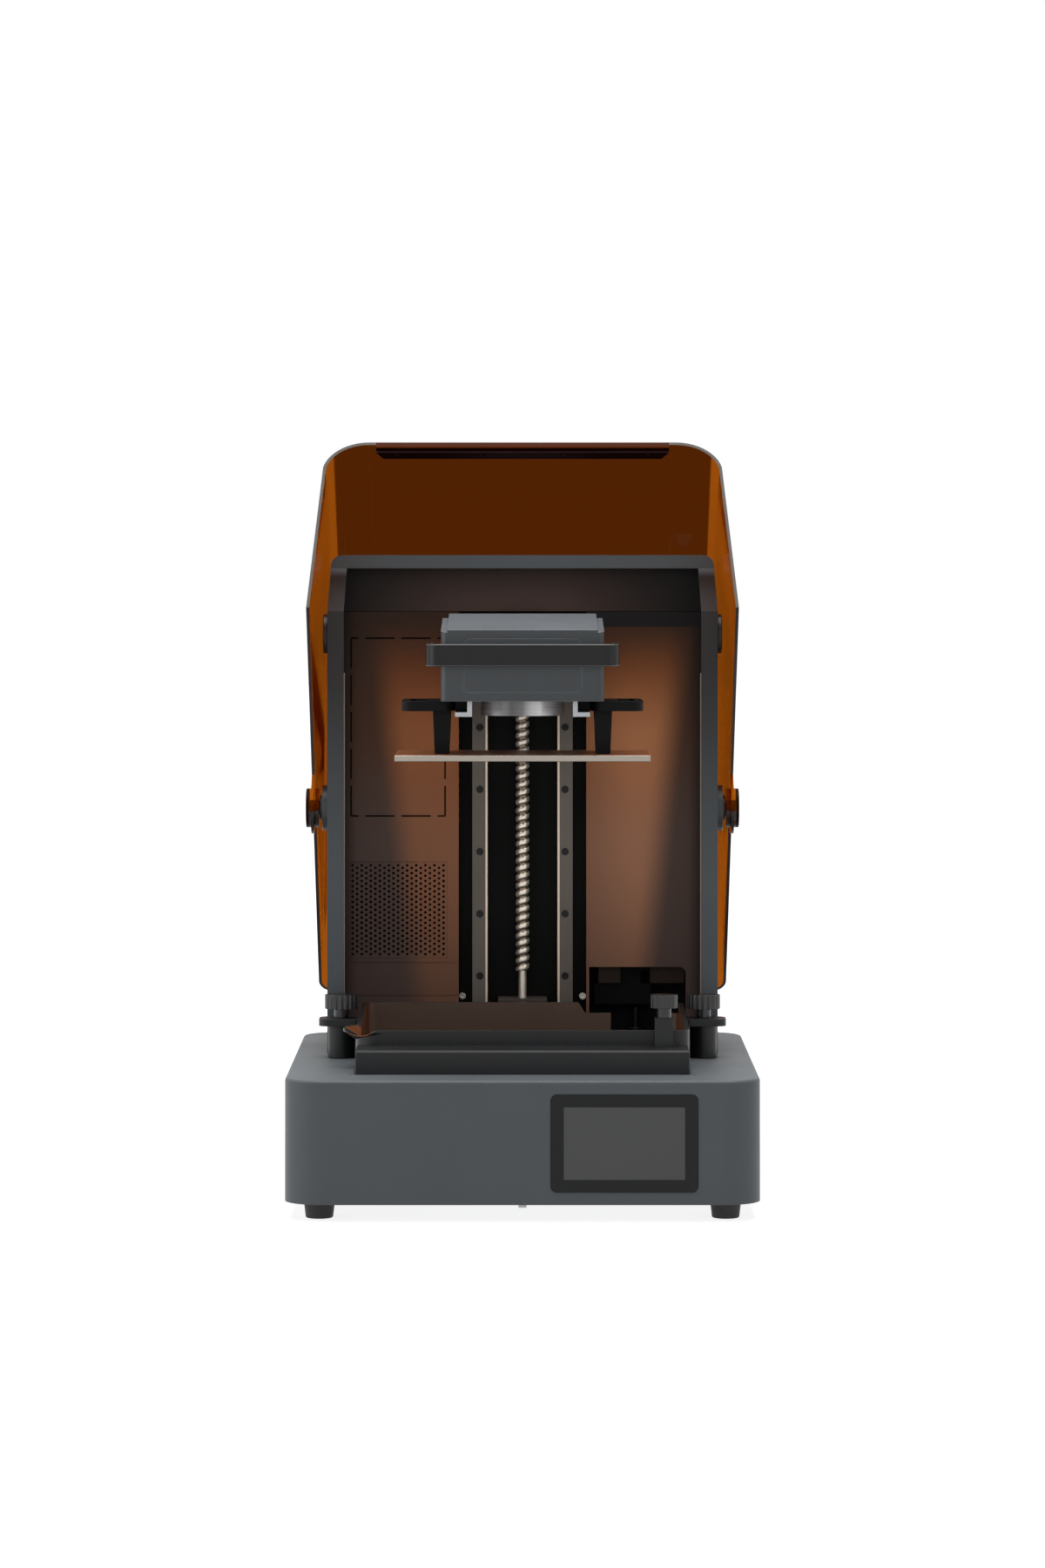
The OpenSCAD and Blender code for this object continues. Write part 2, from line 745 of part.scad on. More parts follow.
module fan_rotor() {
  hub_d = 26;
  color("#303133") translate([-vent_x, fan_y + 3, deck_z + vent_z]) difference() {
    union() {
      facing_back() cylinder(d = hub_d, h = 17);
      for (a = [0:360 / 7:359]) rotate([0, a, 0]) translate([hub_d / 2 - 1, 4, -6])
        intersection() {
          rotate([35, 0, 0]) cube([fan_bore / 2 - hub_d / 2 - 1, 2, 18]);
          translate([0, -4, -8]) cube([40, 17, 30]);
        }
    }
    translate([0, -1, 0]) facing_back() cylinder(d = 4 + 2 * run_gap, h = 20);
  }
}

module filter_cartridge() {
  color("#2a2a2b") difference() {
    translate([-vent_x, panel_y + panel_t, deck_z + slot_frame_z])
      upright_plate(slot_frame_w + 7, slot_frame_h + 7, 3, 26);
    for (i = [-7:7])
      translate([-vent_x, panel_y + panel_t + 22, deck_z + slot_frame_z + i * 9])
        upright_plate(slot_frame_w - 18, 4, 1, 6);
  }
}

recess_depth = 34;

module recess_box() {
  t = 2;
  y0 = panel_y + panel_t;
  w = recess_x1 - recess_x0;
  color("#0c0c0d") translate([recess_x0 - t, y0, deck_z]) difference() {
    cube([w + 2 * t, recess_depth, recess_h + t]);
    translate([t, -1, t]) cube([w, recess_depth - t + 1, recess_h - t]);
  }
}

module feed_bracket() {
  y0 = panel_y + panel_t + 8;
  x0 = recess_x0 + 7.5;
  z1 = deck_z + recess_h - 1;
  color(brown_grey) translate([x0, y0, 0]) difference() {
    translate([0, 0, z1 - 13.8]) cube([69, 3, 14.8]);
    translate([18, -1, z1 - 14.8]) cube([23, 5, 12]);
  }
  color("#141414") translate([x0 - 3, y0 + 3, z1 - 30]) cube([45, 10, 16.4]);
  color("#141414") translate([x0 + 4, y0 + 3, z1 - 14]) cube([30, 6, 12]);
}

module feed_pin() {
  x = 91.5;
  y = panel_y + panel_t + 14;
  color(steel) translate([x, y, deck_z + 2]) {
    cylinder(d = 16, h = 8, $fn = 48);
    cylinder(d = 5.5, h = 24, $fn = 32);
  }
}

// ---------- Z axis ----------

module z_column() {
  half = window_half - fit_gap;
  color("#0e0e0f") difference() {
    translate([-half, column_y, deck_z]) cube([2 * half, column_t, seam_h - 1]);
    translate([-half + 4, column_y + 4, deck_z + 4]) cube([2 * half - 8, column_t, seam_h - 9]);
    rail_screw_places() translate([0, -1, 0]) facing_back()
      cylinder(d = rail_screw_d + 2 * run_gap, h = 20, $fn = 24);
  }
}

rail_screw_d = 3;
rail_screw_z0 = 22;

module rail_screw_places() {
  n = floor((rail_z1 - rail_z0 - rail_screw_z0) / rail_screw_pitch);
  for (s = [-1, 1], i = [0:n])
    translate([s * rail_x, column_y, deck_z + rail_z0 + rail_screw_z0 + i * rail_screw_pitch]) children();
}

module linear_rails() {
  color("#6d6f71") difference() {
    both_sides() translate([rail_x - rail_w / 2, rail_y0, deck_z + rail_z0])
      cube([rail_w, rail_t, rail_z1 - rail_z0]);
    both_sides() for (s = [-1, 1])
      translate([rail_x + s * rail_w / 2, rail_y0 + rail_t * 0.45, deck_z + rail_z0 - 1])
        cylinder(d = 2.4, h = rail_z1 - rail_z0 + 2, $fn = 24);
    rail_screw_places() translate([0, -rail_t - 1, 0]) facing_back() cylinder(d = 6, h = 5.4, $fn = 32);
    rail_screw_places() translate([0, -rail_t, 0]) facing_back()
      cylinder(d = rail_screw_d + 2 * run_gap, h = rail_t + 1, $fn = 24);
  }
}

module rail_screws() {
  color("#222324") rail_screw_places() translate([0, -rail_t + 4.4, 0]) facing_back() mirror([0, 0, 1])
    cap_screw_flat(rail_screw_d, 9);
}

// Low-headed screw whose head rises towards +Z from z = 0
module cap_screw_flat(d, len) {
  difference() {
    union() {
      translate([0, 0, -len]) cylinder(d = d, h = len, $fn = 24);
      cylinder(d = 5.4, h = 3, $fn = 32);
    }
    translate([0, 0, 1.4]) cylinder(d = 2.6, h = 3, $fn = 6);
  }
}

bearing_block_h = 8;
bearing_block_z = deck_z + 27;
thread_z0 = deck_z + 57;
thread_z1 = deck_z + rail_z1 - 18;
coupler_z = deck_z - 4;
coupler_h = 27;

module ball_screw() {
  turns = floor((thread_z1 - thread_z0) / screw_lead);
  color(steel) translate([0, screw_y, 0]) {
    translate([0, 0, coupler_z + coupler_h / 2])
      cylinder(d = journal_d, h = deck_z + rail_z1 - coupler_z - coupler_h / 2, $fn = 48);
    difference() {
      translate([0, 0, thread_z0]) cylinder(d = screw_d, h = thread_z1 - thread_z0, $fn = 48);
      for (i = [1:turns - 1]) translate([0, 0, thread_z0 + i * screw_lead])
        rotate_extrude($fn = 48) translate([screw_d / 2 + 0.5, 0]) circle(r = screw_groove + 0.5, $fn = 24);
    }
  }
}

screw_block_w = 39.2;
top_block_h = 8;

// One bearing block of the ball screw, standing out of the column by reach
module screw_block(z, h, reach) {
  difference() {
    translate([-screw_block_w / 2, screw_y - reach, z]) cube([screw_block_w, column_y - screw_y + reach, h]);
    translate([0, screw_y, z - 1]) cylinder(d = journal_d + 2 * run_gap, h = h + 2, $fn = 48);
  }
}

module screw_blocks() {
  color("#5a4f4b") screw_block(bearing_block_z, bearing_block_h, 12);
  color("#5a4f4b") screw_block(deck_z + rail_z1 - top_block_h, top_block_h, 10);
}

motor_shaft_d = 5;
motor_w = 42;
motor_h = 40;
motor_z = deck_z - base_wall - 3 - motor_h;

module screw_coupler() {
  color("#c9cbcc") translate([0, screw_y, coupler_z]) difference() {
    cylinder(d = coupler_d, h = coupler_h, $fn = 48);
    translate([0, 0, coupler_h / 2]) cylinder(d = journal_d, h = coupler_h, $fn = 48);
    translate([0, 0, -1]) cylinder(d = motor_shaft_d, h = 9, $fn = 48);
  }
}

module z_motor() {
  color("#2b2c2e") translate([0, screw_y, motor_z]) {
    translate([-motor_w / 2, -motor_w / 2, 0]) cube([motor_w, motor_w, motor_h]);
    for (sx = [-1, 1], sy = [-1, 1])
      translate([sx * 15.5, sy * 15.5, motor_h - eps]) cylinder(d = 6, h = 3 + eps, $fn = 24);
    cylinder(d = motor_shaft_d - 2 * run_gap, h = coupler_z + 7 - motor_z, $fn = 32);
  }
}

// ---------- head ----------

module carriage_blocks() {
  channel = rail_w + 2 * run_gap;
  color("#75787a") both_sides() translate([rail_x, 0, block_z]) difference() {
    translate([-block_w / 2, block_y0, 0]) cube([block_w, block_t - 1, block_h]);
    translate([-channel / 2, rail_y0 - run_gap, -1]) cube([channel, 40, block_h + 2]);
  }
}

module carriage_plate() {
  color("#7d8083") difference() {
    translate([-rail_x - block_w / 2, block_y0 - carriage_t, block_z])
      cube([2 * rail_x + block_w, carriage_t, block_h]);
    for (s = [-1, 1], x = [-8, 8], z = [14, 46])
      translate([s * rail_x + x, block_y0 - carriage_t - 1, block_z + z]) facing_back()
        cylinder(d = 3.4, h = carriage_t + 2, $fn = 24);
  }
}

nut_z = head_z - 13;
nut_flange_t = 8;
nut_pad = screw_y - block_y0;      // from the screw's axis to the carriage plate

module ball_nut() {
  color("#a9abad") translate([0, screw_y, nut_z]) difference() {
    union() {
      cylinder(d = nut_d, h = 36, $fn = 64);
      intersection() {
        cylinder(d = 38, h = nut_flange_t, $fn = 64);
        translate([-19, -nut_pad, 0]) cube([38, nut_pad + 12.4, nut_flange_t]);
      }
      translate([-17, -nut_pad, nut_flange_t - eps]) cube([34, 5, 20]);
    }
    translate([0, 0, -1]) cylinder(d = screw_d + 2 * run_gap, h = 40, $fn = 64);
    for (s = [-1, 1]) translate([s * nut_bolt_x, 0, -1]) cylinder(d = 5.4, h = nut_flange_t + 4, $fn = 24);
  }
}

nut_bolt_x = 15.1;

module nut_bolts() {
  color("#3b3c3e") for (s = [-1, 1])
    translate([s * nut_bolt_x, screw_y, nut_z]) cylinder(d = 5, h = nut_flange_t + 2, $fn = 6);
}

arm_w = 84;
arm_h = 40;
head_floor_t = 6;

module head_arm() {
  y0 = head_y0 + 12;
  color("#3a3c3e") difference() {
    translate([-arm_w / 2, y0, head_z + head_floor_t]) cube([arm_w, block_y0 - carriage_t - y0, arm_h]);
    translate([-arm_w / 2 - 1, lever_pivot_y, lever_pivot_z]) rotate([0, 90, 0])
      cylinder(d = shaft_d + 2 * run_gap, h = arm_w + 2, $fn = 48);
  }
}

head_wall = 3;

// Plan of the head's cover with rounded front corners
module head_plan(w, d) {
  r = head_corner_r;
  translate([-w / 2, r]) square([w, d - r]);
  translate([-w / 2 + r, 0]) square([w - 2 * r, d]);
  for (s = [-1, 1]) translate([s * (w / 2 - r), r]) circle(r);
}

module head_side_profile(front_h, rise, d) {
  polygon([[-1, 0], [-1, front_h - 0.8], [1.5, front_h], [d - 4, front_h + rise], [d + 1,
      front_h + rise - 4], [d + 1, 0]]);
}

module head_cover() {
  w = head_w;
  color("#63676b") translate([0, head_y0, head_z]) difference() {
    intersection() {
      linear_extrude(head_front_h + head_rise) head_plan(w, head_d);
      union() {
        side_extrude(w / 2 - 5) head_side_profile(head_front_h, head_rise, head_d);
        side_extrude(w) head_side_profile(head_front_h - 2, head_rise - 1.5, head_d);
      }
    }
    translate([0, head_wall, head_floor_t]) intersection() {
      linear_extrude(head_front_h + head_rise - 12)
        head_plan(w - 2 * head_wall, head_d + 10);
      side_extrude(w) head_side_profile(head_front_h - 6 - head_wall - 2, head_rise - 1.5, head_d + 10);
    }
    translate([-w, lever_pivot_y - head_y0, lever_pivot_z - head_z]) rotate([0, 90, 0])
      cylinder(d = shaft_d + 2 * run_gap, h = 2 * w, $fn = 48);
    // line around the middle of the front
    translate([0, 0, inset_z]) difference() {
      translate([0, -1, 0]) upright_plate(inset_w, inset_h, inset_r, 1 + inset_line);
      translate([0, -2, 0])
        upright_plate(inset_w - 2 * inset_line, inset_h - 2 * inset_line, inset_r - inset_line, 4);
    }
  }
}

inset_w = 90.4;
inset_h = 42;
inset_r = 4;
inset_z = 27.5;
inset_line = 0.6;                 // width and depth of the line

module clamp_disc() {
  color("#c6c7c9") translate([0, plate_y, head_z - disc_h]) cylinder(d = disc_d, h = disc_h, $fn = 128);
}

module platform_guides() {
  color("#c6c7c9") both_sides() translate([guide_in_x, plate_y - guide_len / 2, head_z - disc_h]) {
    cube([guide_t, guide_len, disc_h]);
    cube([guide_foot, guide_len, guide_foot_t]);
  }
}

lever_half = head_w / 2 + lever_gap + lever_t;
lever_front_y = head_y0 - 10 - lever_t;

module lever_plan(half, front, r) {
  translate([-half, front + r]) square([2 * half, lever_pivot_y - front - r]);
  translate([-half + r, front]) square([2 * half - 2 * r, r + 1]);
  for (s = [-1, 1]) translate([s * (half - r), front + r]) circle(r);
}

module clamp_lever() {
  arm_x0 = lever_half - lever_t;
  color("#1d1d1e") difference() {
    union() {
      translate([0, 0, lever_pivot_z - lever_h / 2]) linear_extrude(lever_h) difference() {
        lever_plan(lever_half, lever_front_y, lever_r);
        translate([0, eps]) lever_plan(lever_half - lever_t, lever_front_y + lever_t, lever_r - lever_t);
        translate([-arm_x0, lever_pivot_y - 2]) square([2 * arm_x0, 10]);
      }
      both_sides() translate([arm_x0, lever_pivot_y, lever_pivot_z]) rotate([0, 90, 0])
        cylinder(d = lever_h, h = lever_t, $fn = 64);
    }
    both_sides() translate([arm_x0 - 1, lever_pivot_y, lever_pivot_z]) rotate([0, 90, 0])
      cylinder(d = shaft_d, h = lever_t + 2, $fn = 48);
  }
}

module lever_shaft() {
  color(steel) translate([-lever_half, lever_pivot_y, lever_pivot_z]) rotate([0, 90, 0])
    cylinder(d = shaft_d, h = 2 * lever_half, $fn = 48);
}

// ---------- build platform ----------

module build_plate() {
  color("#c9cacb") translate([-plate_w / 2, plate_y - plate_d / 2, plate_z])
    cube([plate_w, plate_d, plate_t]);
}

handle_x0 = guide_in_x + guide_t + 0.5;
handle_z0 = head_z - disc_h + guide_foot_t + 0.3;
handle_post_x = 62.1;
slot_x0 = 74;

module platform_handles() {
  post_d = 44;
  x1 = handle_x0 + handle_len;
  color("#161617") both_sides() {
    translate([0, plate_y, handle_z0]) difference() {
      union() {
        translate([handle_x0, -handle_d / 2 + 12, 0])
          cube([slot_x0 - handle_x0, handle_d - 24, handle_t - 0.4]);
        translate([(handle_post_x - 10 + x1) / 2, 0, 0])
          rounded_plate(x1 - handle_post_x + 10, handle_d, 9, handle_t - 0.4);
      }
      translate([(slot_x0 + x1 - 6) / 2, 0, -1])
        rounded_plate(x1 - 6 - slot_x0, handle_d - 14, 5, handle_t + 2);
    }
    translate([0, plate_y + post_d / 2, 0]) rotate([90, 0, 0]) linear_extrude(post_d)
      polygon([
        [handle_post_x - post_top_w / 2, handle_z0 + 1], [handle_post_x + post_top_w / 2, handle_z0 + 1],
        [handle_post_x + post_foot_w / 2, plate_top_z], [handle_post_x - post_foot_w / 2, plate_top_z]
      ]);
  }
}

// ---------- vat ----------

basin_mid_y = (basin_y0 + basin_y1) / 2;
spout_r = 22;
spout_flare = 10.5;     // how far the spout widens on the way up
spout_flare_h = 7;
spout_low = 21;         // height of the spout's lower end above the deck
spout_x = -vat_w / 2 + 12.3;
spout_y = basin_y0 + 20;
spout_corner_r = 18;    // corner of the basin below the spout
lip_r = 17;             // dip in the spout's rim
lip_low = 25.1;

module basin_plan(m) {
  difference() {
    translate([0, basin_mid_y]) rounded_rect(vat_w - 2 * m, basin_d - 2 * m, basin_r - m);
    translate([-vat_w / 2 + m, basin_y0 + m]) difference() {
      translate([-1, -1]) square(spout_corner_r - m + 1);
      translate([spout_corner_r - m, spout_corner_r - m]) circle(spout_corner_r - m);
    }
  }
}

// The flaring spout, narrower by cut and higher by lift
module spout_form(cut, lift) {
  z0 = deck_z + spout_low + lift;
  translate([spout_x, spout_y, 0]) rotate_extrude()
    polygon([
      [0, z0], [spout_r - spout_flare - cut, z0], [spout_r - cut, z0 + spout_flare_h],
      [spout_r - cut, deck_z + 80], [0, deck_z + 80]
    ]);
}

// The slanting rim as (y, z)
module rim_profile() {
  polygon([
    [basin_y0 - 20, deck_z], [basin_y0 - 20, deck_z + rim_front_h], [basin_y0 + 8, deck_z + rim_front_h],
    [basin_y1 - 20, deck_z + rim_rear_h], [basin_y1 + 10, deck_z + rim_rear_h], [basin_y1 + 10, deck_z]
  ]);
}

module vat_tray() {
  notch_x = 43.6;
  notch2_x = 70;
  color("#1c1c1d") difference() {
    union() {
      intersection() {
        union() {
          translate([0, 0, deck_z]) linear_extrude(rim_rear_h + 1) basin_plan(0);
          spout_form(0, 0);
        }
        side_extrude(vat_w) rim_profile();
      }
      // front block with slanting ends
      translate([0, basin_y0 + 8, 0]) rotate([90, 0, 0]) linear_extrude(ledge_d + 8)
        polygon([
          [-vat_w / 2, deck_z], [vat_w / 2, deck_z],
          [vat_w / 2 - 1.6, deck_z + ledge_h], [-vat_w / 2 + 1.6, deck_z + ledge_h]
        ]);
      both_sides() translate([(vat_w / 2 + knob_x + lug_reach) / 2 - 2, knob_y, lug_z])
        rounded_plate(knob_x + lug_reach - vat_w / 2 + 4, lug_d, 7, lug_t);
      translate([front_knob_x - front_column_w / 2, front_knob_y - front_column_w / 2, deck_z + ledge_h - 1])
        cube([front_column_w, front_column_w, front_column_h - ledge_h + 1]);
    }
    // basin
    translate([0, 0, vat_floor_z + vat_floor_t]) linear_extrude(60) basin_plan(vat_wall);
    spout_form(2, 2.5);
    // film window
    translate([0, plate_y, deck_z]) rounded_plate(film_w, film_d, 5, 20);
    // room for the film frame below the floor
    translate([0, 0, deck_z - 1]) linear_extrude(vat_floor_z - deck_z + 1) basin_plan(vat_wall);
    // hollow of the front block
    translate([-vat_w / 2 + vat_wall + 1, ledge_y0 + vat_wall, deck_z - 1])
      cube([vat_w - 2 * vat_wall - 2, ledge_d - vat_wall - 1, ledge_h - vat_wall + 1]);
    // pouring lip: the spout's rim dips
    translate([spout_x - 9.3, spout_y - spout_r - 4, deck_z + lip_low + lip_r]) rotate([-90, 0, 0])
      cylinder(r = lip_r, h = 19);
    // lower rear rim at the resin feed
    translate([0, basin_y1 + 2, 0]) rotate([90, 0, 0]) linear_extrude(vat_wall + 8)
      polygon([
        [notch_x, deck_z + rim_rear_h + 1], [notch_x + 6, deck_z + 27.6], [vat_w, deck_z + 27.6],
        [vat_w, deck_z + rim_rear_h + 1]
      ]);
    translate([notch2_x, basin_y1 - vat_wall - 6, deck_z + 14])
      cube([vat_w / 2 - notch2_x - basin_r, vat_wall + 8, 30]);
    both_sides() translate([knob_x, knob_y, lug_z - 1])
      cylinder(d = shank_d + 2 * run_gap, h = lug_t + 2, $fn = 48);
    translate([front_knob_x, front_knob_y, deck_z + ledge_h + 4])
      cylinder(d = shank_d + 2 * run_gap, h = 40, $fn = 48);
  }
}

module vat_film() {
  color("#9fb4c4") translate([0, plate_y, film_z]) rounded_plate(film_w + 24, film_d + 12, 5, film_t);
}

film_screw_xs = [for (i = [-3:3]) i * (film_w + 4) / 6];

module film_screw_places() {
  for (x = film_screw_xs, s = [-1, 1])
    translate([x, plate_y + s * (film_d / 2 + 3.5), film_z - film_frame_t]) children();
}

module film_frame() {
  color("#b4b6b8") difference() {
    translate([0, plate_y, film_z - film_frame_t]) rounded_plate(film_w + 26, film_d + 14, 6, film_frame_t);
    translate([0, plate_y, film_z - film_frame_t - 1]) rounded_plate(film_w, film_d, 5, film_frame_t + 2);
    film_screw_places() translate([0, 0, -1]) cylinder(d = 3.2, h = 10, $fn = 24);
  }
}

module film_frame_screws() {
  color(steel) film_screw_places() cylinder(d = 3, h = film_frame_t - fit_gap, $fn = 24);
}

post_r = 10.4;

module vat_posts() {
  color(black) both_sides() difference() {
    union() {
      translate([knob_x, knob_y, deck_z]) cylinder(r = post_r, h = lug_z - deck_z);
      translate([knob_x - 6, knob_y - 3, deck_z]) cube([12, 19, lug_z - deck_z]);
    }
    translate([knob_x, knob_y, deck_z + 6]) cylinder(d = shank_d + 2 * run_gap, h = 40, $fn = 48);
  }
}

// Fluted knob whose neck ends at z = -neck
module thumb_knob(head_d, head_h, neck) {
  flutes = round(head_d * 0.7);
  difference() {
    cylinder(d = head_d, h = head_h);
    for (i = [0:flutes - 1]) rotate(i * 360 / flutes) translate([head_d / 2 + 1.1, 0, -1])
      cylinder(r = 1.8, h = head_h + 2, $fn = 16);
  }
  translate([0, 0, -neck]) cylinder(d = shank_d + 3, h = neck + eps, $fn = 48);
}

side_neck = 7.3;
front_neck = 7.5;
side_stud = lug_t + 16;
front_stud = 16;

module side_thumb_knob() {
  translate([knob_x, knob_y, lug_z + lug_t + side_neck]) thumb_knob(knob_d, knob_h, side_neck);
}

module side_thumb_stud() {
  translate([knob_x, knob_y, lug_z + lug_t - side_stud]) cylinder(d = shank_d, h = side_stud, $fn = 48);
}

module thumb_screw_right() {
  color("#222223") side_thumb_knob();
}

module thumb_screw_left() {
  color("#222223") mirror([1, 0, 0]) side_thumb_knob();
}

module thumb_stud_right() {
  color(steel) side_thumb_stud();
}

module thumb_stud_left() {
  color(steel) mirror([1, 0, 0]) side_thumb_stud();
}

module thumb_screw_front() {
  color("#222223") translate([front_knob_x, front_knob_y, deck_z + front_column_h]) {
    translate([0, 0, front_neck]) thumb_knob(front_knob_d, 10, front_neck);
    translate([0, 0, -front_stud]) cylinder(d = shank_d, h = front_stud + eps, $fn = 48);
  }
}

// ---------- lid, drawn closed about its pivot and then turned back ----------

lid_roof_r = 11;
lid_rear_y = -lid_edge_back;
lid_front_y = lid_rear_y - lid_side_len;
lid_low_z = -pivot_h + 0.5;
lid_top_rear_y = 4;
lid_bend_y = lid_rear_y - 60;
lid_front_top_z = lid_roof_h - 96;
lid_front_top_y = lid_front_y;
lid_corner_tilt = 5;              // how fast the front corners grow sharper towards the roof
lid_lip_t = 5;                    // thickness of the front's lower edge
lid_plan_rear = lid_top_rear_y + 66;
lid_reach = lid_roof_h + pivot_h + 60;

module place_lid() {
  translate([0, pivot_y, pivot_z]) rotate([-lid_angle, 0, 0]) children();
}

// Side view of the closed lid as (y, z); front and wall are the amounts taken off
module lid_side(front, wall, low) {
  polygon([
    [lid_rear_y + wall * 20, low], [lid_front_y + front, low], [lid_front_top_y + front,
        lid_front_top_z - wall * 0.4],
    [lid_bend_y + wall * 0.4, lid_roof_h - wall], [lid_top_rear_y + wall * 20, lid_roof_h - wall]
  ]);
}

// Plan of the closed lid, a trapezium with rounded front corners; spread widens its rear
module lid_plan(front, wall, corner_r, spread) {
  r = corner_r - wall;
  slope = (lid_rear_half + spread - lid_front_half) / lid_side_len;
  f = lid_front_y + front;
  y1 = lid_plan_rear;
  tilt = atan(slope);
  half_f = lid_front_half - wall + front * slope;
  half_r = lid_rear_half + spread - wall;
  // centre of the corner: r behind the front and r inside the slanting side
  cx = half_f + r * slope - r / cos(tilt);
  cy = f + r;
  tx = cx + r * cos(tilt);
  ty = cy - r * sin(tilt);
  polygon([
    [-cx, f], [cx, f], [cx, cy], [tx, ty], [half_r, lid_rear_y], [half_r, y1],
    [-half_r, y1], [-half_r, lid_rear_y], [-tx, ty], [-cx, cy]
  ]);
  for (s = [-1, 1]) translate([s * cx, cy]) circle(r, $fn = 128);
}

module lid_solid(front, wall, low) {
  intersection() {
    side_extrude(lid_rear_half + 20) lid_side(front, wall, low);
    translate([0, 0, low - 10]) linear_extrude(lid_reach) lid_plan(front, wall, lid_edge_r, 0);
    translate([0, lid_front_y, lid_low_z]) rotate([lid_corner_tilt, 0, 0]) translate([0, -lid_front_y, -60])
      linear_extrude(lid_reach + 60) lid_plan(front, wall, lid_corner_r, 3);
    translate([0, lid_plan_rear, 0]) rotate([90, 0, 0]) linear_extrude(lid_plan_rear - lid_front_y + 20)
      lid_front_view(lid_rear_half - wall, lid_roof_h - wall, lid_roof_r - wall);
  }
}

// Front view of the closed lid with its rounded roof corners
module lid_front_view(half, top, r) {
  translate([-half, -pivot_h - 20]) square([2 * half, top - r + pivot_h + 20]);
  translate([-half + r, -pivot_h - 20]) square([2 * (half - r), top + pivot_h + 20]);
  for (s = [-1, 1]) translate([s * (half - r), top - r]) circle(r);
}

module lid_shell() {
  boss_x0 = hub_x1 + 2.3;
  color(amber, 0.75) place_lid() difference() {
    union() {
      difference() {
        lid_solid(0, 0, lid_low_z);
        lid_solid(lid_front_wall, lid_wall, lid_low_z - 5);
        // rear edge, leaning back towards its top
        side_extrude(lid_rear_half + 40)
          polygon([
            [lid_rear_y, lid_low_z - 1], [lid_top_rear_y, lid_roof_h + 1],
            [lid_top_rear_y + 200, lid_roof_h + 1], [lid_rear_y + 200, lid_low_z - 1]
          ]);
      }
      // thicker lower edge of the front
      translate([-grip_half, lid_front_y + lid_front_wall - eps, lid_low_z])
        cube([2 * grip_half, lid_lip_t - lid_front_wall + eps, 3]);
      both_sides() {
        // ear that carries the pivot boss
        translate([lid_rear_half - lid_wall, 0, 0]) rotate([0, 90, 0])
          cylinder(r = boss_d / 2 + 5, h = lid_wall);
        translate([lid_rear_half - lid_wall, -24, -19]) cube([lid_wall, 24, 38]);
        translate([boss_x0, 0, 0]) rotate([0, 90, 0]) cylinder(d = boss_d, h = lid_rear_half + 2 - boss_x0);
      }
    }
    both_sides() translate([hub_x1, 0, 0]) rotate([0, 90, 0]) cylinder(d = pin_d + 2 * run_gap, h = 60);
    translate([0, 0, grip_z0]) grip_screw_places()
      facing_back() cylinder(d = 3.2, h = 20, center = true, $fn = 24);
  }
}

hub_x0 = chamber_w / 2;
hub_x1 = hub_x0 + 5.5;
grip_half = 117;
grip_h = 7;
grip_t = 5;
grip_gap = 0.3;
grip_z0 = lid_low_z + 3.3;

module grip_screw_places() {
  for (x = [-100, -33.3, 33.3, 100]) translate([x, lid_front_y, grip_h / 2]) children();
}

module lid_grip() {
  y0 = lid_front_y + lid_front_wall + grip_gap;
  color("#3a1206") place_lid() {
    translate([0, y0, grip_z0]) rotate([-90, 0, 0]) linear_extrude(grip_t) polygon([
      [-grip_half, 0], [grip_half, 0], [grip_half - 6, -grip_h], [-grip_half + 6, -grip_h]
    ]);
    translate([0, 0, grip_z0]) grip_screw_places() translate([0, lid_front_wall + grip_gap, 0]) {
      translate([0, eps, 0]) facing_back() mirror([0, 0, 1])
        cylinder(d = 2.8, h = lid_front_wall + grip_gap - 0.3, $fn = 24);
      translate([0, grip_t - eps, 0]) facing_back() cylinder(d = 5.6, h = 1.2, $fn = 6);
    }
  }
}

module lid_hinge_caps() {
  color("#2a1005") place_lid() both_sides()
    translate([lid_rear_half + 2, 0, 0]) rotate([0, 90, 0]) cylinder(d = boss_d, h = 2.2);
}

module hinge_hubs() {
  flange = 3;
  color("#2f3234") both_sides() translate([0, pivot_y, pivot_z]) rotate([0, 90, 0]) {
    translate([0, 0, hub_x0]) cylinder(d = 36, h = hub_x1 - hub_x0);
    translate([0, 0, hub_x1 - eps]) cylinder(d = 20, h = 2);
    translate([0, 0, chamber_in_half - flange]) cylinder(d = 20, h = flange);
    translate([0, 0, chamber_in_half - flange])
      cylinder(d = pin_d, h = lid_rear_half + 1 - chamber_in_half + flange);
  }
}

base_shell();
base_floor();
case_screws();
feet();
screen_glass();
screen_display();
lcd_panel();
lcd_frame();
light_box();
led_array();
heat_sink();
mainboard();
power_supply();
mains_inlet();
power_rocker();
chamber_shell();
rear_cover();
back_panel();
upper_panel();
vent_grille();
side_buffers();
fan_frame();
fan_rotor();
filter_cartridge();
recess_box();
feed_bracket();
feed_pin();
z_column();
linear_rails();
rail_screws();
ball_screw();
screw_blocks();
screw_coupler();
z_motor();
carriage_blocks();
carriage_plate();
ball_nut();
nut_bolts();
head_arm();
head_cover();
clamp_disc();
platform_guides();
clamp_lever();
lever_shaft();
build_plate();
platform_handles();
vat_tray();
vat_film();
film_frame();
film_frame_screws();
vat_posts();
thumb_screw_left();
thumb_stud_left();
thumb_screw_right();
thumb_stud_right();
thumb_screw_front();
lid_shell();
lid_grip();
lid_hinge_caps();
hinge_hubs();
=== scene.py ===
"""Looks of the desktop resin printer: soft edges, procedural materials, the tinted lid, studio and camera."""

import json
import math

import bmesh
import bpy
from mathutils import Matrix, Vector

